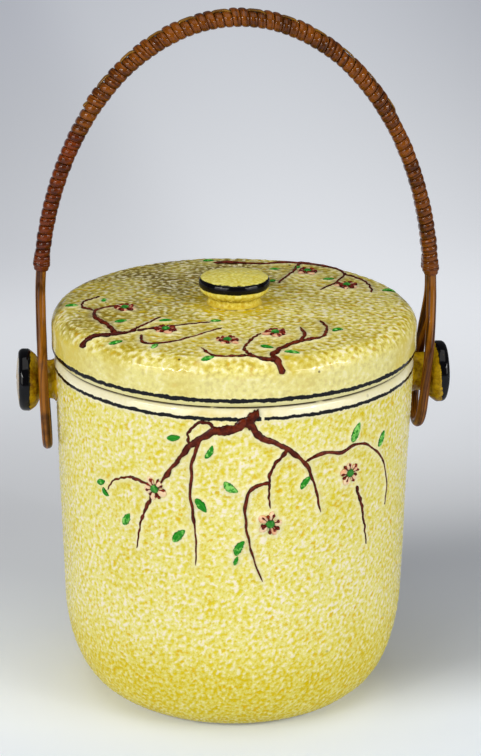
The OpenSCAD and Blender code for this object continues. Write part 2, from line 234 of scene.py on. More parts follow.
class MeshDraft:
    """Gathers grids of points, with values at each point, into one mesh."""

    def __init__(self) -> None:
        """Starts an empty draft."""
        self.points: list[Array] = []
        self.quads: list[Array] = []
        self.fans: list[Array] = []
        self.values: dict[str, list[Array]] = {}
        self.count = 0

    def _keep(self, points: Array, values: dict[str, Array]) -> None:
        """Adds points and their values.

        Args:
            points: Any grid of points.
            values: For each name, one row per point.
        """
        self.points.append(points.reshape(-1, 3))
        for name, value in values.items():
            self.values.setdefault(name, []).append(value)
        self.count += len(self.points[-1])

    def add(self, points: Array, ring_rows: bool = False, **values: Array) -> MeshDraft:
        """Adds closed tubes: the columns always join up, and so do the rows, or each end closes on a point.

        A face's corners are (i,j), (i,j+1), (i+1,j+1), (i+1,j), so it points along columns x rows.

        Args:
            points: Rows along the tube and columns round it, with any number of tubes in front.
            ring_rows: Whether the last row joins the first, as in a ring.
            values: Numbers or vectors at each point, kept as attributes.

        Returns:
            This draft.
        """
        rows, cols = points.shape[-3:-1]
        points = points.reshape(-1, rows, cols, 3)
        batch = len(points)
        index = np.arange(batch * rows * cols).reshape(batch, rows, cols) + self.count
        beside = np.roll(index, -1, axis=2)
        if ring_rows:
            corners = [index, beside, np.roll(beside, -1, axis=1), np.roll(index, -1, axis=1)]
        else:
            corners = [index[:, :-1], beside[:, :-1], beside[:, 1:], index[:, 1:]]
        self.quads.append(np.stack(corners, -1).reshape(-1, 4))
        grids = {}
        for name, value in values.items():
            tail = (3,) if value.ndim > 2 and value.shape[-1] == 3 and value.shape[-2] == cols else ()
            grids[name] = np.broadcast_to(value, (batch, rows, cols, *tail))
        self._keep(points, {n: g.reshape(-1, *g.shape[3:]) for n, g in grids.items()})
        if not ring_rows:
            poles = np.broadcast_to(np.arange(batch * 2).reshape(batch, 2, 1) + self.count, (batch, 2, cols))
            self.fans.append(np.stack([poles[:, 0], beside[:, 0], index[:, 0]], -1).reshape(-1, 3))
            self.fans.append(np.stack([poles[:, 1], index[:, -1], beside[:, -1]], -1).reshape(-1, 3))
            ends = {n: g[:, [0, -1]].mean(2) for n, g in grids.items()}
            self._keep(points[:, [0, -1]].mean(2), {n: e.reshape(-1, *e.shape[2:]) for n, e in ends.items()})
        return self

    def build(self, name: str) -> bpy.types.Object:
        """Makes the mesh in metres.

        Args:
            name: The object's name.

        Returns:
            The object, which sits at the origin.
        """
        mesh = bpy.data.meshes.new(name)
        faces = np.concatenate(self.quads).tolist()
        if self.fans:
            faces += np.concatenate(self.fans).tolist()
        mesh.from_pydata((np.concatenate(self.points) * MM).tolist(), [], faces)
        for key, parts in self.values.items():
            value = np.concatenate(parts).astype(np.float32)
            kind, slot = ("FLOAT", "value") if value.ndim == 1 else ("FLOAT_VECTOR", "vector")
            mesh.attributes.new(key, kind, "POINT").data.foreach_set(slot, value.ravel())
        mesh.shade_smooth()
        mesh.validate()
        thing = bpy.data.objects.new(name, mesh)
        bpy.context.scene.collection.objects.link(thing)
        return thing


def place(
    draft: MeshDraft, name: str, skin: bpy.types.Material, body: str, slot: str, *stands_for: str
) -> None:
    """Builds a piece, dresses it and hangs it on its body.

    Args:
        draft: The piece's mesh.
        name: The piece's name.
        skin: Its material.
        body: The CAD body that it moves with.
        slot: The record's slot for the piece; not used.
        stands_for: The CAD nodes that it is shown for.
    """
    thing = draft.build(name)
    thing.data.materials.append(skin)
    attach(thing, body)
    if stands_for:
        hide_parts(*stands_for)
    LOG.info("%s: %d points on %s", name, len(thing.data.vertices), body)


def turned(line: Array, cols: int) -> tuple[Array, Array, Array]:
    """Turns an outline about the upright axis.

    A point is (r sin a, -r cos a, z). The outline goes outwards along the underside, up the outside
    and in along the top, so its outward direction is (dz, -dr).

    Args:
        line: Rows of radius and height.
        cols: How many steps go round.

    Returns:
        The points, their outward directions and the azimuths in radians.
    """
    azimuth = round_angles(cols)
    step = np.gradient(line, axis=0)
    step /= np.maximum(np.linalg.norm(step, axis=1, keepdims=True), 1e-9)
    round_to = np.stack([np.sin(azimuth), -np.cos(azimuth)], -1)

    def spun(radial: Array, upright: Array) -> Array:
        """Returns vectors with that radial and upright length at every azimuth."""
        flat = radial[:, None, None] * round_to
        return np.concatenate([flat, np.broadcast_to(upright[:, None, None], (*flat.shape[:2], 1))], -1)

    return spun(line[:, 0], line[:, 1]), spun(step[:, 1], -step[:, 0]), azimuth


def bend(
    centre: tuple[float, float], radii: tuple[float, float], start: float, end: float, count: int
) -> Array:
    """Returns points on an ellipse in the outline plane, from one angle in degrees to another."""
    angle = np.radians(np.linspace(start, end, count))
    return np.stack([centre[0] + radii[0] * np.cos(angle), centre[1] + radii[1] * np.sin(angle)], -1)


# ---------------------------------------------------------------- shaders


class Value:
    """A socket of numbers whose operators add Math nodes."""

    def __init__(self, shader: Shader, socket: bpy.types.NodeSocket) -> None:
        """Keeps the shader and the socket."""
        self.shader = shader
        self.socket = socket

    def _math(self, operation: str, first: Any, second: Any = 0.0) -> Value:
        """Returns the result of a Math node."""
        return self.shader.node("ShaderNodeMath", {"operation": operation}, {0: first, 1: second})

    def __add__(self, other: Any) -> Value:
        """Returns self + other."""
        return self._math("ADD", self, other)

    def __sub__(self, other: Any) -> Value:
        """Returns self - other."""
        return self._math("SUBTRACT", self, other)

    def __rsub__(self, other: Any) -> Value:
        """Returns other - self."""
        return self._math("SUBTRACT", other, self)

    def __mul__(self, other: Any) -> Value:
        """Returns self x other."""
        return self._math("MULTIPLY", self, other)

    def __truediv__(self, other: Any) -> Value:
        """Returns self / other."""
        return self._math("DIVIDE", self, other)

    def __rtruediv__(self, other: Any) -> Value:
        """Returns other / self."""
        return self._math("DIVIDE", other, self)

    __radd__ = __add__
    __rmul__ = __mul__

    def size(self) -> Value:
        """Returns the value without its sign."""
        return self._math("ABSOLUTE", self)

    def ease(self, low: float, high: float) -> Value:
        """Returns 0 at low and 1 at high, eased at both ends."""
        sockets = {"Value": self, "From Min": low, "From Max": high}
        return self.shader.node("ShaderNodeMapRange", {"interpolation_type": "SMOOTHSTEP"}, sockets)


class Shader:
    """A material whose nodes are added by calls."""

    def __init__(self, name: str) -> None:
        """Makes a material with an empty tree.

        Args:
            name: The material's name.
        """
        self.material = bpy.data.materials.new(name)
        self.material.use_nodes = True
        self.tree = self.material.node_tree
        self.tree.nodes.clear()
        self.coordinates = self.node("ShaderNodeTexCoord", output="Object")

    def node(
        self,
        kind: str,
        settings: dict[str, Any] | None = None,
        sockets: dict[int | str, Any] | None = None,
        output: int | str | None = 0,
    ) -> Value | None:
        """Adds one node.

        Args:
            kind: The node's type.
            settings: Its properties, which are set first.
            sockets: Values or links of its inputs, by number, name or identifier.
            output: The output that is returned, if any.

        Returns:
            That output.
        """
        added = self.tree.nodes.new(kind)
        for name, setting in (settings or {}).items():
            setattr(added, name, setting)
        for key, value in (sockets or {}).items():
            target = self._socket(added.inputs, key)
            if isinstance(value, Value):
                self.tree.links.new(value.socket, target)
            else:
                target.default_value = value
        return None if output is None else Value(self, self._socket(added.outputs, output))

    @staticmethod
    def _socket(sockets: Any, key: int | str) -> bpy.types.NodeSocket:
        """Finds a socket.

        Args:
            sockets: The inputs or outputs of a node.
            key: Its number, identifier or name.

        Returns:
            The socket.
        """
        if isinstance(key, int):
            return sockets[key]
        named = [s for s in sockets if s.identifier == key] or [s for s in sockets if s.name == key]
        return named[0]

    def noise(
        self, scale: float, detail: float = 3.0, roughness: float = 0.55, at: Value | None = None
    ) -> Value:
        """Returns noise about 0.5 with that many waves in a metre, or in a unit of another coordinate."""
        sockets = {"Vector": at or self.coordinates, "Scale": scale, "Detail": detail, "Roughness": roughness}
        return self.node("ShaderNodeTexNoise", None, sockets)

    def stretched(self, at: Value, scale: tuple[float, float, float]) -> Value:
        """Returns a coordinate with its axes scaled."""
        return self.node("ShaderNodeMapping", {"vector_type": "POINT"}, {"Vector": at, "Scale": scale})

    def axis(self, name: str) -> Value:
        """Returns the object coordinate X, Y or Z in millimetres."""
        return self.node("ShaderNodeSeparateXYZ", None, {0: self.coordinates}, output=name) * (1 / MM)

    def value(self, name: str) -> Value:
        """Returns a number that the mesh holds at its points."""
        return self.node("ShaderNodeAttribute", {"attribute_name": name}, output="Fac")

    def vector(self, name: str) -> Value:
        """Returns a vector that the mesh holds at its points."""
        return self.node("ShaderNodeAttribute", {"attribute_name": name}, output="Vector")

    def mix(self, factor: Any, first: Any, second: Any) -> Value:
        """Returns a colour that goes from the first to the second."""
        sockets = {"Factor_Float": factor, "A_Color": first, "B_Color": second}
        return self.node("ShaderNodeMix", {"data_type": "RGBA"}, sockets, "Result_Color")

    def bump(self, height: Value, depth: float) -> Value:
        """Returns a normal for heights that go from 0 to 1 over that many millimetres."""
        sockets = {"Height": height, "Distance": depth * MM, "Strength": 1.0}
        return self.node("ShaderNodeBump", None, sockets, "Normal")

    def finish(self, **sockets: Any) -> bpy.types.Material:
        """Adds the main shader.

        Args:
            sockets: Values or links of its inputs, named with _ for spaces.

        Returns:
            The finished material.
        """
        named = {key.replace("_", " "): value for key, value in sockets.items()}
        surface = self.node("ShaderNodeBsdfPrincipled", None, named)
        self.node("ShaderNodeOutputMaterial", None, {"Surface": surface}, output=None)
        return self.material


@dataclass(frozen=True)
class PaintedBand:
    """A black line laid on by hand.

    Attributes:
        axis: The axis that it is measured along.
        low: Its first edge.
        high: Its last edge.
        ragged: How ragged its edges are.
        slant: How much the first edge moves for each millimetre of height above the pivot.
        pivot: Height at which the first edge is at low.
        gap: X of a short gap that the brush left at the front, or None.
    """

    axis: str
    low: float
    high: float
    ragged: float = 0.5
    slant: float = 0.0
    pivot: float = 0.0
    gap: float | None = None

    def mask(self, shader: Shader) -> Value:
        """Finds the band, between two levels whose edges are shifted by coarse and fine noise.

        Args:
            shader: The shader.

        Returns:
            1 on the band and 0 beside it.
        """
        level = shader.axis(self.axis)
        if self.axis == "X":
            level = level.size()
        level = level + (shader.noise(330, 3.0, 0.7) - 0.5) * (4.6 * self.ragged)
        level = level + (shader.noise(45, 1.0) - 0.5) * self.ragged
        first = level - (shader.axis("Z") - self.pivot) * self.slant if self.slant else level
        band = first.ease(self.low - 0.1, self.low + 0.1) * (1 - level.ease(self.high - 0.1, self.high + 0.1))
        if self.gap is None:
            return band
        beside = (shader.axis("X") - self.gap).size().ease(0.35, 0.7)
        return band * (1 - (1 - beside) * (1 - shader.axis("Y").ease(-1, 1)))


BLACK_LINE = srgb(5, 4, 6)
IRON_SPECK = srgb(70, 48, 12)
# Colour of the painted shade in the crevice where the lid meets the pot.
PAINTED_JOINT_SHADE = srgb(56, 36, 14)
ORANGE_PIT = srgb(222, 168, 20)
PALE_SLIP = srgb(244, 236, 184)
# Brown laid on as tone, and as painted shade in the knob's waist.
BROWN_TONE_AND_SHADE = srgb(92, 70, 16)
JOINT_EDGE = (68.5, 69.5)


@dataclass(frozen=True)
class Glaze:
    """The jar's yellow glaze: pale on the bumps, deep in the pits, golden where it has pooled.

    Attributes:
        band: The black painted line.
        crest: Colour on the bumps.
        main: Colour between the bumps and the pits.
        pit: Colour in the pits.
        gold: Colour where the glaze has pooled.
        smooth: Colour of the smooth places.
        gloss: Roughness of the glaze.
        joint: Height of a joint whose outer edge gets a broken dark line of painted shade, or None.
        pebbled: Whether the mesh holds pebbling.
        grain: Waves of the fine mottling in a metre.
        specks: How dark the iron specks are.
    """

    band: PaintedBand
    crest: Colour = srgb(244, 233, 206)
    main: Colour = srgb(233, 223, 130)
    pit: Colour = srgb(218, 200, 34)
    gold: Colour = srgb(214, 186, 0)
    smooth: Colour = srgb(246, 238, 200)
    gloss: float = 0.16
    joint: float | None = None
    pebbled: bool = True
    grain: float = 660
    specks: float = 0.25

    def _colour(self, s: Shader, patches: Value, fine: Value) -> Value:
        """Returns the glaze's colour on a pebbled skin.

        Args:
            s: The shader.
            patches: Noise in large patches.
            fine: Noise as fine as the grain.

        Returns:
            The colour.
        """
        relief = s.value("pebble") * 0.6 + (fine - 0.5) * 2.9 + (patches - 0.5) * 0.3
        gold = s.value("gold") * (patches + 0.5).ease(0.4, 1.1)
        pit, main = s.mix(gold, self.pit, self.gold), s.mix(gold * 0.5, self.main, self.pit)
        colour = s.mix((relief + gold * -0.2).ease(-0.6, 0.05), pit, main)
        crest = s.mix(gold * 0.75, self.crest, self.main)
        colour = s.mix((relief + gold * -0.12).ease(0.05, 0.5), colour, crest)
        orange = s.noise(150, 2.0).ease(0.54, 0.64) * (1 - relief.ease(-0.7, 0.0))
        colour = s.mix(orange * 0.6, colour, ORANGE_PIT)
        colour = s.mix(s.value("slip") * 0.8, colour, PALE_SLIP)
        cloud = patches * 0.6 + fine * 0.4
        mottled = s.mix(cloud.ease(0.4, 0.62), self.smooth, s.mix(0.35, self.smooth, self.main))
        colour = s.mix(s.value("plain"), colour, s.mix(gold * 0.6, mottled, self.gold))
        # Brown over the glaze: tone on the lid's top and the knob's face, and painted shade in the knob's
        # waist.
        stain = s.value("stain") * (1 - relief.ease(-0.3, 0.6) * 0.85) * cloud.ease(0.38, 0.54)
        return s.mix(stain * 0.9, colour, BROWN_TONE_AND_SHADE)

    def _painted_joint_shade(self, s: Shader, level: float) -> Value:
        """Finds the painted shade that lies in a broken line on a joint's outer edge, darkening its crevice.

        Args:
            s: The shader.
            level: Height of the joint.

        Returns:
            1 on the painted shade.
        """
        x, y = s.axis("X"), s.axis("Y")
        near = (s.axis("Z") - level).size()
        outside = (x * x + y * y).ease(JOINT_EDGE[0] ** 2, JOINT_EDGE[1] ** 2)
        return (1 - near.ease(0.15, 0.75)) * outside * s.noise(300, 2.0).ease(0.2, 0.45)

    def material(self, name: str) -> bpy.types.Material:
        """Makes the glaze: colour, iron specks, painted shade on the joint and black line, under a coat that
        thins on the gold.

        Args:
            name: The material's name.

        Returns:
            The material.
        """
        s = Shader(name)
        patches = s.noise(34, 4.0, 0.6)
        fine = s.noise(self.grain, 3.0, 0.6)
        plain = s.mix((patches * 0.7 + fine * 0.3).ease(0.4, 0.58), self.smooth, self.gold)
        colour = self._colour(s, patches, fine) if self.pebbled else plain
        speck = s.node("ShaderNodeTexVoronoi", None, {"Vector": s.coordinates, "Scale": 90.0}, "Distance")
        chosen = s.noise(60, 0.0).ease(0.54, 0.58)
        colour = s.mix((1 - speck.ease(0.04, 0.075)) * chosen * self.specks, colour, IRON_SPECK)
        if self.joint is not None:
            # Painted shade: a broken dark line along the joint's crevice.
            colour = s.mix(self._painted_joint_shade(s, self.joint) * 0.95, colour, PAINTED_JOINT_SHADE)
        coat = 0.46 - s.value("gold") * 0.34
        if self.pebbled:
            coat = coat + s.value("plain") * 0.5
        black = self.band.mask(s) * s.noise(700, 2.0).ease(0.14, 0.26)
        colour = s.mix(black, colour, BLACK_LINE)
        coat = coat * (1 - black) + black * 0.42
        height = fine * 1.2 + s.noise(330, 2.0) * 0.8 + black * 0.7
        return s.finish(
            Base_Color=colour,
            Roughness=(s.noise(500, 2.0) - 0.5) * 0.14 + self.gloss,
            Normal=s.bump(height, 0.1),
            Specular_IOR_Level=0.02,
            Coat_Weight=coat,
            Coat_Roughness=0.03,
        )


@dataclass(frozen=True)
class Enamel:
    """A glossy painted relief colour, mottled where its thickness changes, with a painted highlight on its
    crowns and darker at its foot.

    Attributes:
        body: Main colour.
        thin_and_highlight: Colour where the paint is thin, also laid on the crowns as a painted highlight.
        edge: Colour at the foot of the relief.
        mottle: Waves of thickness in a metre.
        gloss: Roughness.
    """

    body: Colour
    thin_and_highlight: Colour
    edge: Colour
    mottle: float = 380
    gloss: float = 0.22

    def material(self, name: str) -> bpy.types.Material:
        """Makes the enamel: mottled, paler on the crowns as a painted highlight, and darker at the foot of
        the relief.

        Args:
            name: The material's name.

        Returns:
            The material.
        """
        s = Shader(name)
        cloud = s.noise(self.mottle, 3.0, 0.6)
        colour = s.mix((cloud + (s.value("tone") - 0.5) * 0.2).ease(0.48, 0.66), self.body, self.thin_and_highlight)
        # Painted highlight: the crowns are paled towards the thin colour.
        colour = s.mix(s.value("crown").ease(0.7, 1.0) * 0.3, colour, self.thin_and_highlight)
        colour = s.mix(1 - s.value("crown").ease(0.04, 0.62), colour, self.edge)
        return s.finish(
            Base_Color=colour,
            Roughness=(cloud - 0.5) * 0.2 + self.gloss,
            Normal=s.bump(cloud * 0.6 + s.noise(self.mottle * 2.2, 2.0), 0.14),
            Specular_IOR_Level=0.02,
            Coat_Weight=0.2,
            Coat_Roughness=0.05,
        )


@dataclass(frozen=True)
class Rattan:
    """Varnished cane or split strip, streaked along its length.

    Attributes:
        light: Colour of the pale fibres.
        dark: Colour of the dark fibres.
        deep: Colour of stains, and of the painted shade on a strip's edges in the grooves between turns.
        streak: Scales of the grain across, through and along.
        gloss: Roughness of the varnish.
    """

    light: Colour
    dark: Colour
    deep: Colour
    streak: tuple[float, float, float] = (0.75, 0.75, 0.016)
    gloss: float = 0.34

    def material(self, name: str) -> bpy.types.Material:
        """Makes the cane: fibres along its length, with dark stains, and painted shade on the edges.

        Args:
            name: The material's name.

        Returns:
            The material.
        """
        s = Shader(name)
        grain = s.stretched(s.vector("grain"), self.streak)
        fibre = s.noise(1.0, 5.0, 0.65, grain)
        cloud = s.noise(120, 3.0)
        colour = s.mix((fibre + (s.value("tone") - 0.5) * 0.3).ease(0.38, 0.62), self.dark, self.light)
        colour = s.mix(cloud.ease(0.48, 0.7) * 0.6, colour, self.deep)
        # Painted shade: a strip's edges, in the grooves between its turns, are darkened.
        colour = s.mix(1 - s.value("crown").ease(0.0, 0.6), colour, self.deep)
        return s.finish(
            Base_Color=colour,
            Roughness=(fibre - 0.5) * 0.25 + self.gloss,
            Normal=s.bump(fibre, 0.09),
            Specular_IOR_Level=0.02,
            Coat_Weight=0.44,
            Coat_Roughness=0.07,
        )


# ---------------------------------------------------------------- painted relief


@dataclass(frozen=True)
class Canvas:
    """A glazed surface laid flat, so that relief can be drawn on it in millimetres.

    Attributes:
        line: The outline, from the start of the flat lengths.
        girth_radius: Radius at which the surface is unrolled, or 0 where it is laid flat round its centre.
        start: Length along the outline at its first point.
        sign: 1 where the outline goes up the outside, -1 where it goes out along the top.
    """

    line: Array
    girth_radius: float
    start: float
    sign: int

    def flat(self, azimuth: Array, level: Array) -> Array:
        """Lays out points that are given by azimuth and level.

        Args:
            azimuth: Azimuths in degrees.
            level: Heights on the pot, or lengths from the middle on the lid.

        Returns:
            The flat points.
        """
        angle = np.radians(azimuth)
        if self.girth_radius:
            along = np.interp(level, self.line[:, 1], lengths_along(self.line) + self.start)
            return grid(angle * self.girth_radius, along)
        return grid(level * np.sin(angle), -level * np.cos(angle))

    def unrolled(self, azimuth: Array, along: Array) -> Array:
        """Lays out points that are given by azimuth and length.

        Args:
            azimuth: Azimuths in radians.
            along: Lengths along the outline.

        Returns:
            The flat points.
        """
        if self.girth_radius:
            return grid(azimuth * self.girth_radius, along)
        return grid(along * np.sin(azimuth), -along * np.cos(azimuth))

    def lift(self, flat: Array, height: Array) -> Array:
        """Puts flat points onto the surface, raised along its outward direction.

        Args:
            flat: Points on the laid-out surface.
            height: How far each stands out.

        Returns:
            The points in the jar's frame.
        """
        if self.girth_radius:
            azimuth, along = flat[..., 0] / self.girth_radius, flat[..., 1]
        else:
            azimuth, along = np.arctan2(flat[..., 0], -flat[..., 1]), np.hypot(flat[..., 0], flat[..., 1])
        lengths = lengths_along(self.line) + self.start
        slope = np.gradient(self.line, lengths, axis=0)
        radius, level = (np.interp(along, lengths, self.line[:, k]) for k in (0, 1))
        out = self.sign * np.interp(along, lengths, slope[:, 1])
        up = -self.sign * np.interp(along, lengths, slope[:, 0])
        size = np.hypot(out, up)
        reach = radius + height * out / size
        return grid(reach * np.sin(azimuth), -reach * np.cos(azimuth), level + height * up / size)


@dataclass(frozen=True)
class Branch:
    """One painted limb: its control points as azimuth and level, and its widths at the root and the tip."""

    points: tuple[tuple[float, float], ...]
    root: float
    tip: float


@dataclass(frozen=True)
class Leaf:
    """One leaf: its azimuth, level, direction in degrees from the flat's +u, and length."""

    azimuth: float
    level: float
    turn: float
    length: float = 6.4


@dataclass(frozen=True)
class Blossom:
    """One open flower: its azimuth, level, turn in degrees and width."""

    azimuth: float
    level: float
    turn: float
    width: float = 9.6


BRANCH_PAINT = Enamel(srgb(62, 15, 5), srgb(106, 38, 17), srgb(30, 5, 2), mottle=460)
LEAF_PAINT = Enamel(srgb(26, 132, 24), srgb(140, 210, 100), srgb(4, 62, 6), mottle=620)
PETAL_PAINT = Enamel(srgb(248, 222, 180), srgb(238, 176, 132), srgb(206, 140, 60), mottle=300)
LID_PETAL_PAINT = Enamel(srgb(222, 160, 122), srgb(240, 200, 160), srgb(120, 50, 30), mottle=420)
STROKE_PAINT = Enamel(srgb(84, 16, 12), srgb(138, 46, 26), srgb(50, 8, 6), mottle=420)
BEAD_PAINT = Enamel(srgb(20, 108, 28), srgb(92, 168, 70), srgb(5, 46, 12), mottle=500)
RING_COLS = 12
STATIONS = 56
FAR = 9.0


@dataclass
class Spray:
    """Blossoming branches in raised slip, drawn on a canvas.

    Attributes:
        canvas: The surface that they are drawn on.
        branches: The limbs.
        leaves: The leaves.
        blossoms: The flowers.
        seed: Start of the random numbers.
        petal_paint: Colour of the petals.
        leaf_size: Size of the leaves, as a share of their listed length.
        stroke: Width of the strokes on the petals, as a share of the usual one.
        least: Least width of a limb.
        raised: Height of the limbs, as a share of the usual one.
        lift: How far all the relief stands clear of the outline.
        marks: Flat places and half widths of what has been drawn.
    """

    canvas: Canvas
    branches: tuple[Branch, ...]
    leaves: tuple[Leaf, ...]
    blossoms: tuple[Blossom, ...]
    seed: int
    petal_paint: Enamel = PETAL_PAINT
    leaf_size: float = 1.0
    stroke: float = 1.0
    least: float = 0.62
    raised: float = 1.0
    lift: float = 0.16
    marks: list[Array] = field(default_factory=list)

    def _middles(self, items: tuple[Leaf, ...] | tuple[Blossom, ...]) -> Array:
        """Returns the flat places of leaves or blossoms."""
        return self.canvas.flat(*np.array([(item.azimuth, item.level) for item in items]).T)

    def ridges(
        self, path: Array, half: Array, height: Array, groove: float = 0.0, tone: Array | float = 0.5
    ) -> MeshDraft:
        """Makes closed ridges along flat paths, with an oval section.

        A section's point is the path plus half x cos(t) to the left and height x sin(t) up. A groove
        takes height x groove x exp(-(cos(t) / 0.3)^2) off the top. The lower half is sunk.

        Args:
            path: Flat points, one row of stations for each ridge.
            half: Half of the width at each station.
            height: Height at each station.
            groove: Depth of a groove along the top, as a share of the height.
            tone: Random tone of each ridge.

        Returns:
            The draft of all the ridges.
        """
        along = np.gradient(path, axis=1)
        along /= np.maximum(np.linalg.norm(along, axis=-1, keepdims=True), 1e-9)
        left = np.stack([-along[..., 1], along[..., 0]], -1)
        turn = np.linspace(0, 2 * np.pi, RING_COLS, endpoint=False)
        flat = path[:, :, None] + left[:, :, None] * (half[..., None] * np.cos(turn))[..., None]
        crown = np.sin(turn) - groove * np.exp(-((np.cos(turn) / 0.3) ** 2)) * (np.sin(turn) > 0)
        rise = height[..., None] * np.where(crown > 0, crown, 0.8 * crown) + self.lift
        points = self.canvas.lift(flat, rise)
        tones = np.broadcast_to(np.reshape(tone, (-1, 1, 1)), (len(path), path.shape[1], RING_COLS))
        self.marks.append(np.concatenate([path, half[..., None]], -1).reshape(-1, 3))
        return MeshDraft().add(points, crown=np.broadcast_to(np.clip(crown, 0, 1), tones.shape), tone=tones)

    def limbs(self) -> MeshDraft:
        """Draws the branches: smooth paths that taper, with knots and an unsteady width.

        Returns:
            The draft of all the branches.
        """
        draw = np.random.default_rng(self.seed)
        flats = (self.canvas.flat(*np.array(branch.points).T) for branch in self.branches)
        paths = np.stack([smooth_line(flat, STATIONS) for flat in flats])
        t = np.linspace(0, 1, STATIONS)
        root, tip = (np.array([getattr(b, k) for b in self.branches])[:, None] for k in ("root", "tip"))
        knots = draw.uniform(0.1, 0.9, (len(paths), 3, 1))
        swell = (np.exp(-(((t - knots) / 0.035) ** 2)) * draw.uniform(0.1, 0.42, knots.shape)).sum(1)
        rough = 0.13 * wander(draw, len(paths), STATIONS) + draw.uniform(-0.14, 0.14, (len(paths), STATIONS))
        width = (tip + (root - tip) * (1 - t) ** 1.15) * (1 + rough + swell)
        width = np.maximum(width, self.least) * (0.25 + 0.75 * ease(t, 0, 0.02) * (1 - ease(t, 0.97, 1)))
        kink = wander(draw, len(paths), STATIONS)[..., None] * 0.16
        side = np.gradient(paths, axis=1)[..., ::-1] * [-1, 1]
        side /= np.linalg.norm(side, axis=-1, keepdims=True)
        height = self.raised * np.clip(width * 0.42, 0.3, 0.8) * draw.uniform(0.8, 1.1, width.shape)
        return self.ridges(paths + kink * side, width / 2, height, 0.0, draw.random(len(paths)))

    def foliage(self) -> MeshDraft:
        """Draws the leaves: pointed ovals with a midrib.

        The half width goes as sin(pi (0.04 + 0.93 t^0.85))^0.72.

        Returns:
            The draft of all the leaves.
        """
        draw = np.random.default_rng(self.seed + 1)
        t = np.linspace(0, 1, 15)
        centre = self._middles(self.leaves)
        turn = np.radians([e.turn for e in self.leaves])[:, None]
        long = np.array([e.length for e in self.leaves])[:, None] * self.leaf_size
        long = long * draw.uniform(0.88, 1.12, turn.shape)
        x, y = long * (t - 0.5), draw.uniform(-0.9, 0.9, turn.shape) * np.sin(np.pi * t)
        path = grid(x * np.cos(turn) - y * np.sin(turn), x * np.sin(turn) + y * np.cos(turn))
        path = path + centre[:, None]
        shape = np.sin(np.pi * (0.04 + 0.93 * t**0.85)) ** 0.72
        half = long * 0.23 * draw.uniform(0.85, 1.15, turn.shape) * shape * draw.uniform(0.88, 1.12, y.shape)
        return self.ridges(path, half, 0.78 * shape + 0.05 + 0 * long, 0.38, draw.random(len(centre)))

    def _rays(
        self, count: int, spread: float, start: float, end: float, half: Array, rise: Array, seed: int
    ) -> MeshDraft:
        """Returns ridges that radiate from each blossom's middle.

        Args:
            count: Rays in a blossom.
            spread: How far a ray may turn from its even place, in degrees.
            start: Distance of the rays' inner ends, as a share of the blossom's width.
            end: Distance of their outer ends, as a share of the width.
            half: Half widths along a ray, as shares of the width.
            rise: Heights along a ray.
            seed: Start of the random numbers.

        Returns:
            The draft of all the rays.
        """
        draw = np.random.default_rng(self.seed + seed)
        centre = self._middles(self.blossoms)
        width = np.array([e.width for e in self.blossoms])[:, None, None]
        first = np.array([e.turn for e in self.blossoms])[:, None]
        even = 360 * (np.arange(count) + 0.5) / count
        angle = np.radians(even + first + draw.uniform(-spread, spread, (len(centre), count)))[..., None]
        outer = end * draw.uniform(0.8, 1.1, angle.shape)
        reach = width * (start + (outer - start) * np.linspace(0, 1, len(half)))
        path = centre[:, None, None] + grid(reach * np.cos(angle), reach * np.sin(angle))
        halves = width * half * draw.uniform(0.62, 1.38, angle.shape)
        heights = np.broadcast_to(rise, halves.shape)
        shape = (-1, len(half))
        tones = draw.random(halves.shape[:2])
        return self.ridges(path.reshape(*shape, 2), halves.reshape(shape), heights.reshape(shape), 0.0, tones)

    def petals(self) -> MeshDraft:
        """Draws five broad low petals to a blossom, of half width sin(pi (0.12 + 0.84 t)^1.25)^0.7.

        Returns:
            The draft of all the petals.
        """
        t = np.linspace(0, 1, 9)
        shape = np.sin(np.pi * (0.12 + 0.84 * t) ** 1.25) ** 0.7
        return self._rays(5, 7, 0.12, 0.52, 0.16 * shape, 0.62 * shape, 2)

    def strokes(self) -> MeshDraft:
        """Draws the red strokes on the petals: thin at the middle, with a blob at the end.

        Returns:
            The draft of all the strokes.
        """
        t = np.linspace(0, 1, 9)
        shape = 0.4 + 0.75 * np.exp(-(((t - 0.74) / 0.22) ** 2))
        closed = ease(t, -0.1, 0.12) * (1 - ease(t, 0.9, 1.06))
        shape = shape * closed
        return self._rays(9, 14, 0.15, 0.45, 0.064 * self.stroke * shape, 0.6 + 0.4 * shape, 3)

    def beads(self) -> MeshDraft:
        """Draws the green middles: domes whose half width goes as sqrt(1 - x^2).

        Returns:
            The draft of all the middles.
        """
        x = np.linspace(-1, 1, 11)
        radius = 0.19 * np.array([e.width for e in self.blossoms])[:, None]
        path = self._middles(self.blossoms)[:, None] + grid(radius * x, 0.0)
        shape = np.sqrt(1 - (0.97 * x) ** 2)
        return self.ridges(path, radius * shape, 1.35 * shape + 0 * radius)

    def build(self, place_name: str, body: str, slot: str) -> None:
        """Builds the spray's pieces and hangs them on a body.

        Args:
            place_name: What it is on, the first word of its pieces' names.
            body: The CAD body that it moves with.
            slot: The record's slot for the pieces, handed on to place.
        """
        for part, draft, paint in (
            ("branches", self.limbs(), BRANCH_PAINT),
            ("leaves", self.foliage(), LEAF_PAINT),
            ("petals", self.petals(), self.petal_paint),
            ("strokes", self.strokes(), STROKE_PAINT),
            ("beads", self.beads(), BEAD_PAINT),
        ):
            name = f"{place_name}_{part}"
            place(draft, name, paint.material(name), body, slot)

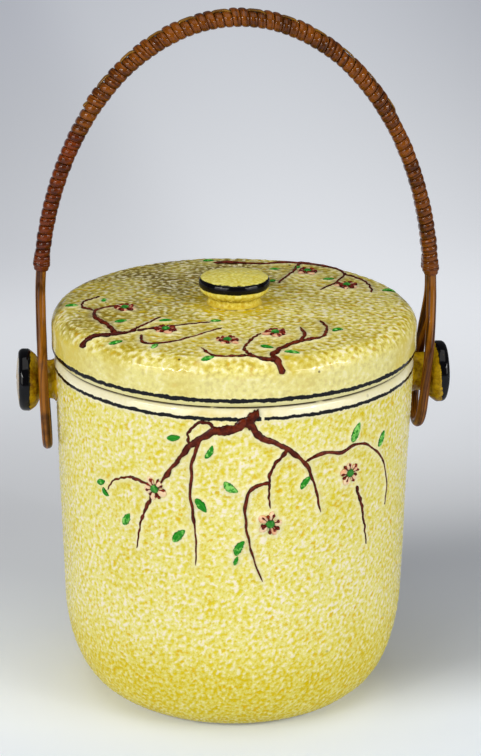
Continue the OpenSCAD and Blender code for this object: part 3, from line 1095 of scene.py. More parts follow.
    def nearness(self, flat: Array) -> Array:
        """Measures how far flat points are from the edge of the nearest mark.

        Args:
            flat: The points.

        Returns:
            The distances, at most FAR.
        """
        marks = np.concatenate(self.marks).astype(np.float32)
        if self.canvas.girth_radius:
            girth = 2 * np.pi * self.canvas.girth_radius
            marks = np.concatenate([marks, marks + [girth, 0, 0], marks - [girth, 0, 0]]).astype(np.float32)
        low, high = marks[:, :2].min(0) - FAR, marks[:, :2].max(0) + FAR
        points = flat.reshape(-1, 2).astype(np.float32)
        far = np.full(len(points), FAR, np.float32)
        inside = np.flatnonzero(((points > low) & (points < high)).all(1))
        for part in np.array_split(inside, max(1, len(inside) // 4000)):
            gap = np.hypot(*(points[part, None] - marks[None, :, :2]).transpose(2, 0, 1)) - marks[None, :, 2]
            far[part] = np.minimum(FAR, gap.min(1))
        return far.reshape(flat.shape[:-1])


# ---------------------------------------------------------------- pot, lid, knob and ears


@dataclass
class Skin:
    """A turned and pebbled skin, raised round its relief.

    Attributes:
        line: The closed outline, from the middle of the underside round to the middle of the top.
        cols: Steps round the skin.
        depth: Depth of the pits.
        seed: Start of the random numbers.
    """

    line: Array
    cols: int
    depth: float = 0.42
    seed: int = 5

    def draft(
        self, flat: Array, pebble: Array, amount: Array, near: Array, stain: Array, gold: Array
    ) -> MeshDraft:
        """Makes the skin's mesh.

        A pit lies depth x amount x (1 - pebble) / 2 under the outline. Slip round the relief stands
        out by 0.22 exp(-(near / 1.3)^2), and the whole form wanders by 0.15.

        Args:
            flat: The laid-out place of each point.
            pebble: Pebbling from -1 to 1.
            amount: How pebbled the skin is, from 0 to 1.
            near: Distance from the relief.
            stain: How much brown is laid on: tone, and painted shade in creases.
            gold: How much glaze has pooled.

        Returns:
            The draft, closed at both ends of the outline.
        """
        points, out, azimuth = turned(self.line, self.cols)
        draw = np.random.default_rng(self.seed)
        along = flat[..., 1]
        slow = sum(
            draw.uniform(0.03, 0.07) * np.sin(k * azimuth + draw.uniform(0, 6) + along / draw.uniform(9, 24))
            for k in (2, 3, 5, 8, 13)
        )
        slip = np.exp(-((np.clip(near, 0, None) / 1.3) ** 2)) * ease(near, -2, 0.2)
        calm = 1 - 0.75 * np.exp(-((np.clip(near, 0, None) / 1.1) ** 2))
        drop = -self.depth * amount * calm * (1 - pebble) / 2 + 0.22 * slip * amount + slow * amount
        pool = np.exp(-(((near - 2.6) / 1.3) ** 2)) * ease(pebble + slow * 6, -0.6, 0.7)
        return MeshDraft().add(
            points + out * drop[..., None],
            pebble=pebble * np.sqrt(amount),
            slip=slip * amount * 0.85,
            gold=np.clip(gold + pool * 0.75, 0, 1),
            plain=1 - np.sqrt(amount),
            stain=stain,
        )


POT_BRANCHES = (
    Branch(((2.8, 139.8), (1.2, 139.2), (0.2, 137.2), (-0.8, 134.4)), 3.0, 3.4),
    Branch(
        ((-0.6, 137.0), (-5.5, 133.6), (-11.0, 132.6), (-16.5, 127.6), (-21.0, 121.4), (-24.6, 114.6),
         (-27.6, 109.4)),
        3.9, 1.3,
    ),
    Branch(((-30.6, 103.4), (-34.0, 93.6), (-36.4, 80.2)), 1.5, 0.55),
    Branch(((-15.0, 129.2), (-17.2, 119.2), (-17.8, 105.2), (-16.4, 91.2), (-16.2, 77.0)), 1.6, 0.6),
    Branch(((-9.0, 132.8), (-12.4, 136.0), (-15.8, 135.4), (-18.4, 131.0), (-18.0, 126.2)), 1.5, 1.0),
    Branch(((-31.6, 108.2), (-38.6, 109.4), (-44.4, 106.2), (-47.4, 101.4)), 1.3, 0.6),
    Branch(
        ((0.2, 136.8), (3.0, 130.6), (8.2, 127.6), (13.4, 122.8), (18.0, 116.8), (21.0, 107.6), (23.0, 96.6)),
        2.9, 0.7,
    ),
    Branch(((12.0, 124.4), (7.4, 118.6), (6.0, 110.2), (6.6, 101.0)), 1.6, 0.7),
    Branch(((6.2, 112.0), (1.6, 110.2), (-0.8, 104.6), (-0.6, 92.0), (1.6, 80.4), (4.6, 70.4)), 1.6, 0.55),
    Branch(
        ((17.4, 118.8), (23.4, 121.4), (29.8, 119.4), (36.0, 121.6), (43.4, 117.6), (49.8, 108.8),
         (52.6, 99.0), (51.8, 90.2)),
        1.5, 0.6,
    ),
    Branch(((36.6, 103.8), (39.8, 93.0), (42.6, 77.2)), 1.5, 0.55),
    Branch(((176.0, 139.0), (173.0, 131.0), (167.0, 124.0), (160.0, 115.0), (157.0, 101.0)), 2.6, 0.7),
    Branch(((173.0, 131.0), (180.0, 124.0), (187.0, 119.0), (191.0, 106.0), (190.0, 90.0)), 2.0, 0.6),
    Branch(((167.0, 124.0), (171.0, 112.0), (173.0, 96.0)), 1.4, 0.6),
    Branch(((160.0, 115.0), (151.0, 113.0), (144.0, 104.0), (143.0, 92.0)), 1.4, 0.6),
)
POT_LEAVES = (
    Leaf(-23.0, 129.0, 12, 5.6), Leaf(-12.2, 124.4, 62), Leaf(-5.4, 110.4, -38, 7.2), Leaf(-14.6, 102.2, -52),
    Leaf(-21.6, 88.6, 48, 7.2), Leaf(-40.0, 91.4, 58, 5.6), Leaf(-2.6, 84.8, 62, 6.2),
    Leaf(-3.8, 79.6, 70, 3.6), Leaf(17.8, 110.0, 50, 7.0), Leaf(35.6, 126.4, 66, 8.0),
    Leaf(48.0, 119.6, 60, 6.6), Leaf(-50.4, 103.6, 20, 5.4), Leaf(-48.2, 100.2, -40, 4.2),
    Leaf(163.0, 123.0, 40), Leaf(183.0, 112.0, 70), Leaf(153.0, 106.0, -50),
    Leaf(166.0, 98.0, 50), Leaf(195.0, 112.0, -30), Leaf(139.0, 98.0, 60), Leaf(183.0, 134.0, -20, 5.6),
)
POT_BLOSSOMS = (
    Blossom(-29.4, 106.8, 12), Blossom(6.6, 94.6, 40), Blossom(33.6, 110.2, -8), Blossom(157.5, 96.0, 22),
    Blossom(189.5, 85.0, 50),
)
LID_BRANCHES = (
    Branch(((-57.6, 74.6), (-57.4, 70.4), (-54.2, 65.4), (-51.4, 59.4), (-49.6, 53.0)), 2.9, 1.5),
    Branch(
        ((-53.0, 61.0), (-64.0, 57.6), (-73.6, 58.4), (-82.0, 56.2), (-86.0, 50.6), (-87.4, 43.6)), 2.4, 1.0
    ),
    Branch(((-50.6, 56.0), (-53.8, 45.4), (-58.0, 36.0)), 1.3, 0.5),
    Branch(((-82.4, 56.2), (-87.6, 60.6), (-95.0, 60.2), (-102.0, 54.6)), 1.3, 0.6),
    Branch(((-44.6, 55.8), (-38.0, 62.0), (-32.0, 58.6), (-25.0, 49.4), (-12.8, 35.4)), 1.4, 0.6),
    Branch(((-49.6, 53.0), (-43.0, 43.0), (-32.0, 33.4), (-23.0, 29.6)), 1.5, 0.5),
    Branch(
        ((9.8, 75.4), (8.6, 71.0), (8.0, 66.0), (13.6, 59.4), (22.0, 55.0), (28.6, 49.0), (32.6, 41.4)),
        2.9, 0.9,
    ),
    Branch(((21.6, 55.4), (32.6, 55.2), (42.0, 49.0), (49.4, 41.6)), 1.5, 0.9),
    Branch(((8.2, 69.8), (4.2, 69.0), (0.8, 66.4), (-5.2, 66.6), (-11.2, 66.4), (-17.0, 59.2)), 1.9, 0.8),
    Branch(((0.8, 66.6), (-1.0, 58.0), (3.4, 48.0), (9.0, 42.4)), 1.4, 0.6),
    Branch(
        ((-176.0, 58.0), (172.0, 57.0), (163.0, 57.4), (156.0, 62.0), (149.0, 64.6), (139.0, 66.2),
         (129.0, 63.4), (119.6, 51.4), (112.0, 39.0)),
        1.8, 0.7,
    ),
    Branch(((149.6, 64.4), (146.0, 50.0), (140.4, 31.2)), 1.4, 0.6),
    Branch(((127.6, 62.4), (117.0, 62.8), (108.0, 60.6), (101.0, 58.4)), 1.3, 0.5),
)
LID_LEAVES = (
    Leaf(-96.8, 52.0, 80, 5.4), Leaf(-90.6, 65.0, 0), Leaf(-64.6, 51.2, 20), Leaf(-47.0, 67.0, 10),
    Leaf(-50.2, 37.4, 5), Leaf(-33.0, 63.0, 60, 5.4), Leaf(-13.0, 68.4, 15), Leaf(-20.0, 27.4, 8, 5.4),
    Leaf(14.6, 65.4, -20, 7.0), Leaf(43.8, 53.4, 25), Leaf(155.6, 50.6, 10), Leaf(148.2, 57.8, 60),
    Leaf(125.6, 51.4, 10), Leaf(101.8, 66.0, -10, 7.0), Leaf(147.6, 33.0, 30, 5.4), Leaf(-174.6, 62.0, 5),
    Leaf(7.8, 57.2, -30),
)
LID_BLOSSOMS = (
    Blossom(-82.8, 44.4, 5), Blossom(-40.6, 45.0, 30), Blossom(-7.8, 49.2, 60), Blossom(16.8, 43.0, 18),
    Blossom(140.8, 54.4, 44), Blossom(113.2, 52.4, 0),
)


@dataclass
class Pot:
    """The slip-cast pot: skin, foot ring, rolled rim and hollow.

    Attributes:
        radius: Radius of the wall outside.
        shoulder: Height where the rolled rim begins.
        taper: How much narrower the base's corner ends.
        wall: Thickness of the wall.
        floor: Height of the floor inside.
        corner: Reach and height of the base's rounded corner.
        foot: Width of the foot ring.
        recess: Depth of the hollow inside the ring.
        roll: Reach and height of the rolled rim.
        mouth: Radius of the mouth.
        mouth_depth: Depth of the mouth's upright side.
        waist: Height below which the inside follows the corner.
        pits: Depth of the pits in the skin.
        rows: Rows of the skin.
        cols: Steps round the pot.
    """

    radius: float = 72.5
    shoulder: float = 137.7
    taper: float = 2.5
    wall: float = 5.0
    floor: float = 6.0
    corner: tuple[float, float] = (20.0, 41.0)
    foot: float = 6.0
    recess: float = 1.5
    roll: tuple[float, float] = (2.3, 4.3)
    mouth: float = 66.0
    mouth_depth: float = 14.0
    waist: float = 84.0
    pits: float = 0.6
    rows: int = 160
    cols: int = 536

    def outside(self) -> Array:
        """Draws the outline from the foot's outer edge up to the rim.

        It is two quarter ellipses, the base's corner and the rolled rim, with the wall between them.

        Returns:
            Rows of radius and height.
        """
        foot_edge = self.radius - self.taper - self.corner[0]
        corner = bend((foot_edge, self.corner[1]), self.corner, -90, 0, 60)
        roll = bend((self.radius - self.roll[0], self.shoulder), self.roll, 0, 90, 14)
        return np.concatenate([corner, roll])

    def outline(self, skin: Array) -> tuple[Array, int]:
        """Closes the outline of the skin through the underside and the inside.

        Args:
            skin: The skin's points.

        Returns:
            All the points, and how many come before the skin.
        """
        rim, inner, foot_edge = self.shoulder + self.roll[1], self.radius - self.wall, skin[0, 0]
        foot_in, mouth_end = foot_edge - self.foot, rim - self.mouth_depth
        hollow = [[2.0, self.recess], [24.0, self.recess], [foot_in - 0.6, self.recess]]
        under = [*hollow, [foot_in, 0.5], [foot_in + 0.5, 0.0], [foot_edge - 0.6, 0.0]]
        neck = [[self.mouth + 0.6, rim], [self.mouth, rim - 0.6], [self.mouth, mouth_end]]
        side = [[inner, mouth_end - 1.5], [inner - 1.2, self.waist]]
        reach, height = self.corner
        corner = bend((foot_edge - self.wall, height), (reach, height - self.floor), 0, -90, 10)
        floor = [[24.0, self.floor], [2.0, self.floor]]
        return np.concatenate([under, skin, neck, side, corner, floor]), len(under)

    def build(self) -> None:
        """Builds the pot's skin and its relief."""
        outside = self.outside()
        spray = Spray(Canvas(outside, self.radius, 0.0, 1), POT_BRANCHES, POT_LEAVES, POT_BLOSSOMS, 21)
        spray.build("pot", "jar", "jar_glaze")
        skin = spaced(outside, self.rows)
        line, start = self.outline(skin)
        along = padded(lengths_along(skin), start, len(line))[:, None]
        smooth_rim = ease(skin[:, 1], self.shoulder - 2.2, self.shoulder - 0.9)
        amount = padded(ease(skin[:, 1], 0.2, 3.0) * (1 - smooth_rim), start, len(line))[:, None]
        flat = spray.canvas.unrolled(round_angles(self.cols)[None], along)
        girth, tall = 2 * np.pi * self.radius, 160
        pebble = Pebbling(girth, tall).at(flat[..., 0], flat[..., 1])
        slow = Pebbling(girth, tall, wave=34, spread=0.7, seed=3).at(flat[..., 0], flat[..., 1])
        low = 1 - ease(line[:, 1:], 6, 54)
        gold = np.clip(1.35 * low + 0.25 * ease(slow, 0.1, 0.8), 0, 1) * (amount > 0)
        near = spray.nearness(flat)
        body = Skin(line, self.cols, self.pits, 5)
        draft = body.draft(flat, pebble, amount + 0 * near, near, 0 * near, gold)
        band = PaintedBand("Z", self.shoulder - 0.75, self.shoulder + 0.7, 0.42, gap=4.9)
        glaze = Glaze(band, joint=self.shoulder + self.roll[1])
        place(draft, "pot_skin", glaze.material("pot_glaze"), "jar", "jar_glaze", "jar_body")


@dataclass
class Lid:
    """The lid: pebbled top, upright wall, rolled lower edge and flange.

    Attributes:
        radius: Radius of the upright wall.
        line_level: Height where the wall begins, above the rolled edge.
        wall: Height of the wall.
        corner: Radius of the rounded shoulder.
        rise: How much the top rises from the shoulder to the knob.
        seat: Radius of the flat that carries the knob.
        rim: Radius and height of the rolled edge's foot, where it sits on the pot.
        thick: Thickness of the top.
        flange: Outer and inner radius of the flange, and the height of its lower end.
        pits: Depth of the pits in the skin.
        rows: Rows of the skin.
        cols: Steps round the lid.
    """

    radius: float = 73.3
    line_level: float = 145.1
    wall: float = 8.0
    corner: float = 7.3
    rise: float = 1.1
    seat: float = 12.5
    rim: tuple[float, float] = (70.2, 142.0)
    thick: float = 5.0
    flange: tuple[float, float, float] = (65.2, 60.7, 133.0)
    pits: float = 0.4
    rows: int = 136
    cols: int = 540

    def top(self) -> Array:
        """Draws the outline from the wall's foot up and in to the knob's seat.

        Returns:
            Rows of radius and height.
        """
        shoulder = self.line_level + self.wall
        corner = bend((self.radius - self.corner, shoulder), (self.corner, self.corner), 0, 90, 24)
        t = np.linspace(0, 1, 12)[1:]
        inner = self.radius - self.corner
        dome = np.stack([inner + (self.seat - inner) * t, corner[-1, 1] + self.rise * (1 - (1 - t) ** 2)], -1)
        return np.concatenate([[[self.radius, self.line_level]], corner, dome])

    def outline(self, skin: Array) -> tuple[Array, int]:
        """Closes the outline of the skin through the underside and the inside.

        Args:
            skin: The skin's points.

        Returns:
            All the points, and how many come before the skin.
        """
        ceiling = self.line_level + self.wall + self.corner - self.thick
        outer, inner, low = self.flange
        cove = bend((inner - self.corner, ceiling - self.corner), (self.corner, self.corner), 90, 0, 8)
        flange = [[inner, low], [outer - 1, low], [outer, low + 1], [outer, self.rim[1]]]
        roll_size = (self.radius - self.rim[0], self.line_level - self.rim[1])
        roll = bend((self.rim[0], self.line_level), roll_size, -90, -6, 9)
        under = np.concatenate([[[2.0, ceiling], [30.0, ceiling]], cove, flange, roll])
        seat = skin[-1, 1]
        return np.concatenate([under, skin, [[6.0, seat], [1.0, seat]]]), len(under)

    def build(self) -> None:
        """Builds the lid's skin and its relief."""
        top = self.top()
        canvas = Canvas(top[::-1], 0.0, self.seat, -1)
        spray = Spray(
            canvas, LID_BRANCHES, LID_LEAVES, LID_BLOSSOMS, 47, LID_PETAL_PAINT,
            leaf_size=0.8, stroke=1.8, least=0.9, raised=1.3,
        )
        spray.build("lid", "lid", "lid_glaze")
        skin = spaced(top, self.rows)
        line, start = self.outline(skin)
        along = padded(lengths_along(skin)[::-1] + self.seat, start, len(line))[:, None]
        along[-2:] = line[-2:, :1]
        level, azimuth = line[:, 1:], round_angles(self.cols)[None]
        shoulder = self.line_level + self.wall
        top_share = ease(level, shoulder, shoulder + 7.4)
        above_line = ease(level, self.line_level + 0.7, self.line_level + 1.8)
        amount = padded(np.ones(self.rows), start, len(line))[:, None]
        amount = amount * (0.14 + 0.86 * top_share) * above_line
        flat = canvas.unrolled(azimuth, along)
        side = 190
        u, v = flat[..., 0] + side / 2, flat[..., 1] + side / 2
        pebble = Pebbling(side, side, wave=3.2, seed=23).at(u, v)
        slow = Pebbling(side, side, wave=38, spread=0.7, seed=9).at(u, v)
        near = spray.nearness(flat)
        towards = np.cos(azimuth - np.radians(-150))
        # Brown tone on the top, heaviest towards the back left.
        stain = top_share * (0.35 + 0.65 * ease(towards, -0.3, 0.8)) * ease(along, 8, 22)
        stain = stain * ease(slow + 0.8 * towards, -0.9, 0.7)
        ring = np.exp(-(((along - 14) / 5) ** 2))
        flank = ease(np.abs(np.sin(azimuth)), 0.7, 1.0) * ease(-top_share, -0.6, 0)
        gold = np.clip(0.9 * ring + 0.5 * ease(slow, 0.0, 0.8) + 1.3 * flank, 0, 1) * (amount > 0)
        draft = Skin(line, self.cols, self.pits, 8).draft(flat, pebble, amount + 0 * near, near, stain, gold)
        glaze = Glaze(
            PaintedBand("Z", self.line_level - 0.7, self.line_level + 0.95, 0.42),
            crest=srgb(246, 238, 196),
            main=srgb(230, 218, 112),
            pit=srgb(182, 156, 26),
            gold=srgb(210, 184, 0),
            smooth=srgb(230, 221, 154),
            grain=480,
            specks=0.9,
            joint=self.rim[1],
        )
        place(draft, "lid_skin", glaze.material("lid_glaze"), "lid", "lid_glaze", "lid")


@dataclass
class Knob:
    """The waisted knob on the lid, with a black painted edge and a pebbled face.

    Attributes:
        base: Height of its foot.
        foot: Radius of its foot.
        neck: Radius of its neck.
        face: Radius of its head.
        height: Height of the head's corner above the foot.
        edge: Height of the head's painted edge.
        round_edge: Reach and height of the head's rounded corner.
        crown: How much the face is crowned.
        pits: Depth of the pits in the skin.
        cols: Steps round the knob.
    """

    base: float = 161.5
    foot: float = 11.6
    neck: float = 10.4
    face: float = 14.3
    height: float = 10.5
    edge: float = 3.8
    round_edge: tuple[float, float] = (1.4, 2.3)
    crown: float = 0.8
    pits: float = 0.24
    cols: int = 120

    def build(self) -> None:
        """Builds the knob's skin."""
        top = self.base + self.height
        flare = top - self.edge
        waist = self.base + 2.2
        foot = bend((self.foot, waist), (self.foot - self.neck, waist - self.base), -90, -180, 7)
        t = np.linspace(0, 1, 12)[1:]
        widening = (self.face - 0.4 - self.neck) * ease(t, -0.1, 0.78)
        cup = grid(self.neck + widening, waist + (flare - waist) * t)
        rim = [[self.face - 0.15, flare + 0.3], [self.face, flare + 0.85]]
        reach, drop = self.round_edge
        corner = bend((self.face - reach, top - drop), self.round_edge, 6, 90, 9)
        t = np.linspace(0, 1, 22)[1:-1]
        dome = grid((self.face - reach) * (1 - t), top + self.crown * (1 - (1 - t) ** 2))
        line = np.concatenate([[[1.0, self.base]], foot, cup, rim, corner, dome])
        azimuth, level, side = round_angles(self.cols), line[:, 1:], 40
        flat = grid(line[:, :1] * np.sin(azimuth), -line[:, :1] * np.cos(azimuth))
        pebble = Pebbling(side, side, wave=2.0, seed=31).at(flat[..., 0] + side / 2, flat[..., 1] + side / 2)
        amount = 0.5 * ease(level, self.base + 0.2, self.base + 0.8) + 0 * pebble
        gold = 0.9 * (1 - ease(level, self.base, flare + 1)) + 0 * pebble
        # Brown tone over the face, and a ring of painted shade in the waist under the cup.
        stain = 0.3 * amount + 0.85 * np.exp(-(((level - waist - 0.9) / 0.7) ** 2))
        body = Skin(line, self.cols, self.pits, 13)
        draft = body.draft(flat, pebble, amount, FAR + 0 * pebble, stain, gold)
        glaze = Glaze(
            PaintedBand("Z", flare - 0.1, top - 0.22, 0.2),
            crest=srgb(252, 246, 160),
            main=srgb(246, 236, 112),
            pit=srgb(226, 200, 30),
            gold=srgb(206, 166, 0),
            smooth=srgb(240, 222, 84),
            specks=0.7,
        )
        place(draft, "knob_skin", glaze.material("knob_glaze"), "lid", "knob_glaze", "lid_knob")


# The black edge of each ear: how far past the cone it begins, its slant, and how far past the face it ends.
EAR_EDGES = {Side.LEFT: (0.3, -0.03, -0.2), Side.RIGHT: (1.2, -0.115, 0.45)}


@dataclass
class Ear:
    """One mushroom-shaped ear luted to the pot's wall.

    Attributes:
        side: The side that it is on.
        level: Height of its axis.
        root: Distance from the jar's axis to its inner end, inside the wall.
        wall: Distance to the start of the flare at the wall.
        neck: Radius of its neck.
        flare: How much the neck widens at the wall.
        cone: Distance to the start of the cone under its head.
        cone_length: Length of the cone.
        head: Radius of its head.
        edge: Length of the head's edge.
        rounding: Radius of the head's corner.
        crown: How much the face is crowned.
        cols: Steps round the ear.
    """

    side: Side
    level: float = 130.3
    root: float = 69.5
    wall: float = 72.3
    neck: float = 7.8
    flare: float = 1.1
    cone: float = 78.58
    cone_length: float = 3.4
    head: float = 12.6
    edge: float = 4.8
    rounding: float = 2.2
    crown: float = 0.9
    cols: int = 96

    def outline(self) -> Array:
        """Draws the ear's outline: flare, neck, hollowed cone, edge and crowned face.

        Returns:
            Rows of radius and length along the ear's axis, from inside the wall to the face.
        """
        inner, outer = self.cone + self.cone_length, self.cone + self.cone_length + self.edge
        root = bend((self.neck + self.flare, self.wall + 2), (self.flare, 2.0), -90, -180, 6)
        waist = [self.neck + 0.55 * (self.head - self.neck), self.cone + 0.4 * self.cone_length]
        neck = [[self.neck, self.cone - 0.5], [self.neck + 0.25, self.cone]]
        shoulder = [[self.head - 0.5, inner - 0.1], [self.head, inner + 0.8]]
        cup = smooth_line(np.array([*neck, waist, *shoulder]), 14)
        rim = [[self.head, outer - self.rounding - 0.2]]
        middle, size = (self.head - self.rounding, outer - self.rounding), (self.rounding, self.rounding)
        corner = bend(middle, size, 8, 90, 9)
        t = np.linspace(0, 1, 12)[1:-1]
        dome = grid((self.head - self.rounding) * (1 - t), outer + self.crown * (1 - (1 - t) ** 2))
        start = [[1.0, self.root], [self.neck + self.flare, self.root]]
        return np.concatenate([start, root, cup, rim, corner, dome])

    def build(self) -> None:
        """Builds the ear's skin: its outline is turned about the ear's own axis."""
        line = self.outline()
        points, out, azimuth = turned(line, self.cols)
        draw = np.random.default_rng(61 + self.side.value)
        axial = line[:, 1:]
        waves = sum(
            draw.uniform(0.03, 0.08) * np.sin(k * azimuth + draw.uniform(0, 6) + axial / draw.uniform(2, 5))
            for k in (1, 2, 3, 5)
        )
        points = points + out * ((waves - 0.1) * ease(axial, self.cone - 0.5, self.cone + 2))[..., None]
        sign = self.side.value
        points = grid(sign * points[..., 2], sign * points[..., 0], self.level - points[..., 1])
        inner = self.cone + self.cone_length
        first, slant, last = EAR_EDGES[self.side]
        band = PaintedBand("X", inner + first, inner + self.edge + last, 0.35, slant, self.level)
        # The ear's glaze is set a deeper gold than the pot's, partly as painted shade for the cone under its
        # head.
        glaze = Glaze(band, smooth=srgb(206, 168, 20), gold=srgb(128, 86, 6), pebbled=False, gloss=0.12)
        word = self.side.name.lower()
        name, node = f"{word}_ear", f"{word}_lug"
        place(MeshDraft().add(points[:, ::-1]), name, glaze.material(name), "jar", "lug_glaze", node)


# ---------------------------------------------------------------- handle


CANE = Rattan(srgb(156, 96, 18), srgb(62, 26, 2), srgb(30, 9, 0))
STRIP = Rattan(srgb(124, 66, 8), srgb(74, 34, 2), srgb(34, 12, 0), (0.12, 1.5, 1.0), 0.24)
DARK_STRIP = Rattan(srgb(114, 48, 6), srgb(68, 23, 1), srgb(30, 8, 0), (0.12, 1.5, 1.0), 0.24)
PALE_STRIP = Rattan(srgb(152, 108, 32), srgb(100, 64, 12), srgb(56, 30, 4), (0.1, 1.5, 1.0), 0.3)


# Sections, from one edge to the other. The strip's is in shares of its width and half of its thickness,
# the leader's in shares of its width and thickness, and the collar's is length along the arch and height
# off the canes.
STRIP_SECTION = np.array([
    [0.5, -1.0], [0.5, -0.1], [0.4, 0.55], [0.2, 0.93], [0.0, 1.0],
    [-0.2, 0.93], [-0.4, 0.55], [-0.5, -0.1], [-0.5, -1.0],
])
LEADER_SECTION = np.array([
    [0.5, -0.4], [0.5, 0.2], [0.38, 0.4], [0.12, 0.48],
    [-0.12, 0.48], [-0.38, 0.4], [-0.5, 0.2], [-0.5, -0.4],
])
COLLAR_PROFILE = np.array([
    [-1.9, 0.16], [-1.9, 0.42], [-1.65, 0.72], [-1.0, 0.9], [-0.55, 0.8], [-0.35, 1.02],
    [0.3, 1.36], [0.95, 1.34], [1.2, 1.1], [1.32, 1.26], [1.75, 1.3], [1.95, 1.05],
    [2.1, 1.14], [3.9, 1.1], [4.2, 0.8], [4.2, 0.16],
])


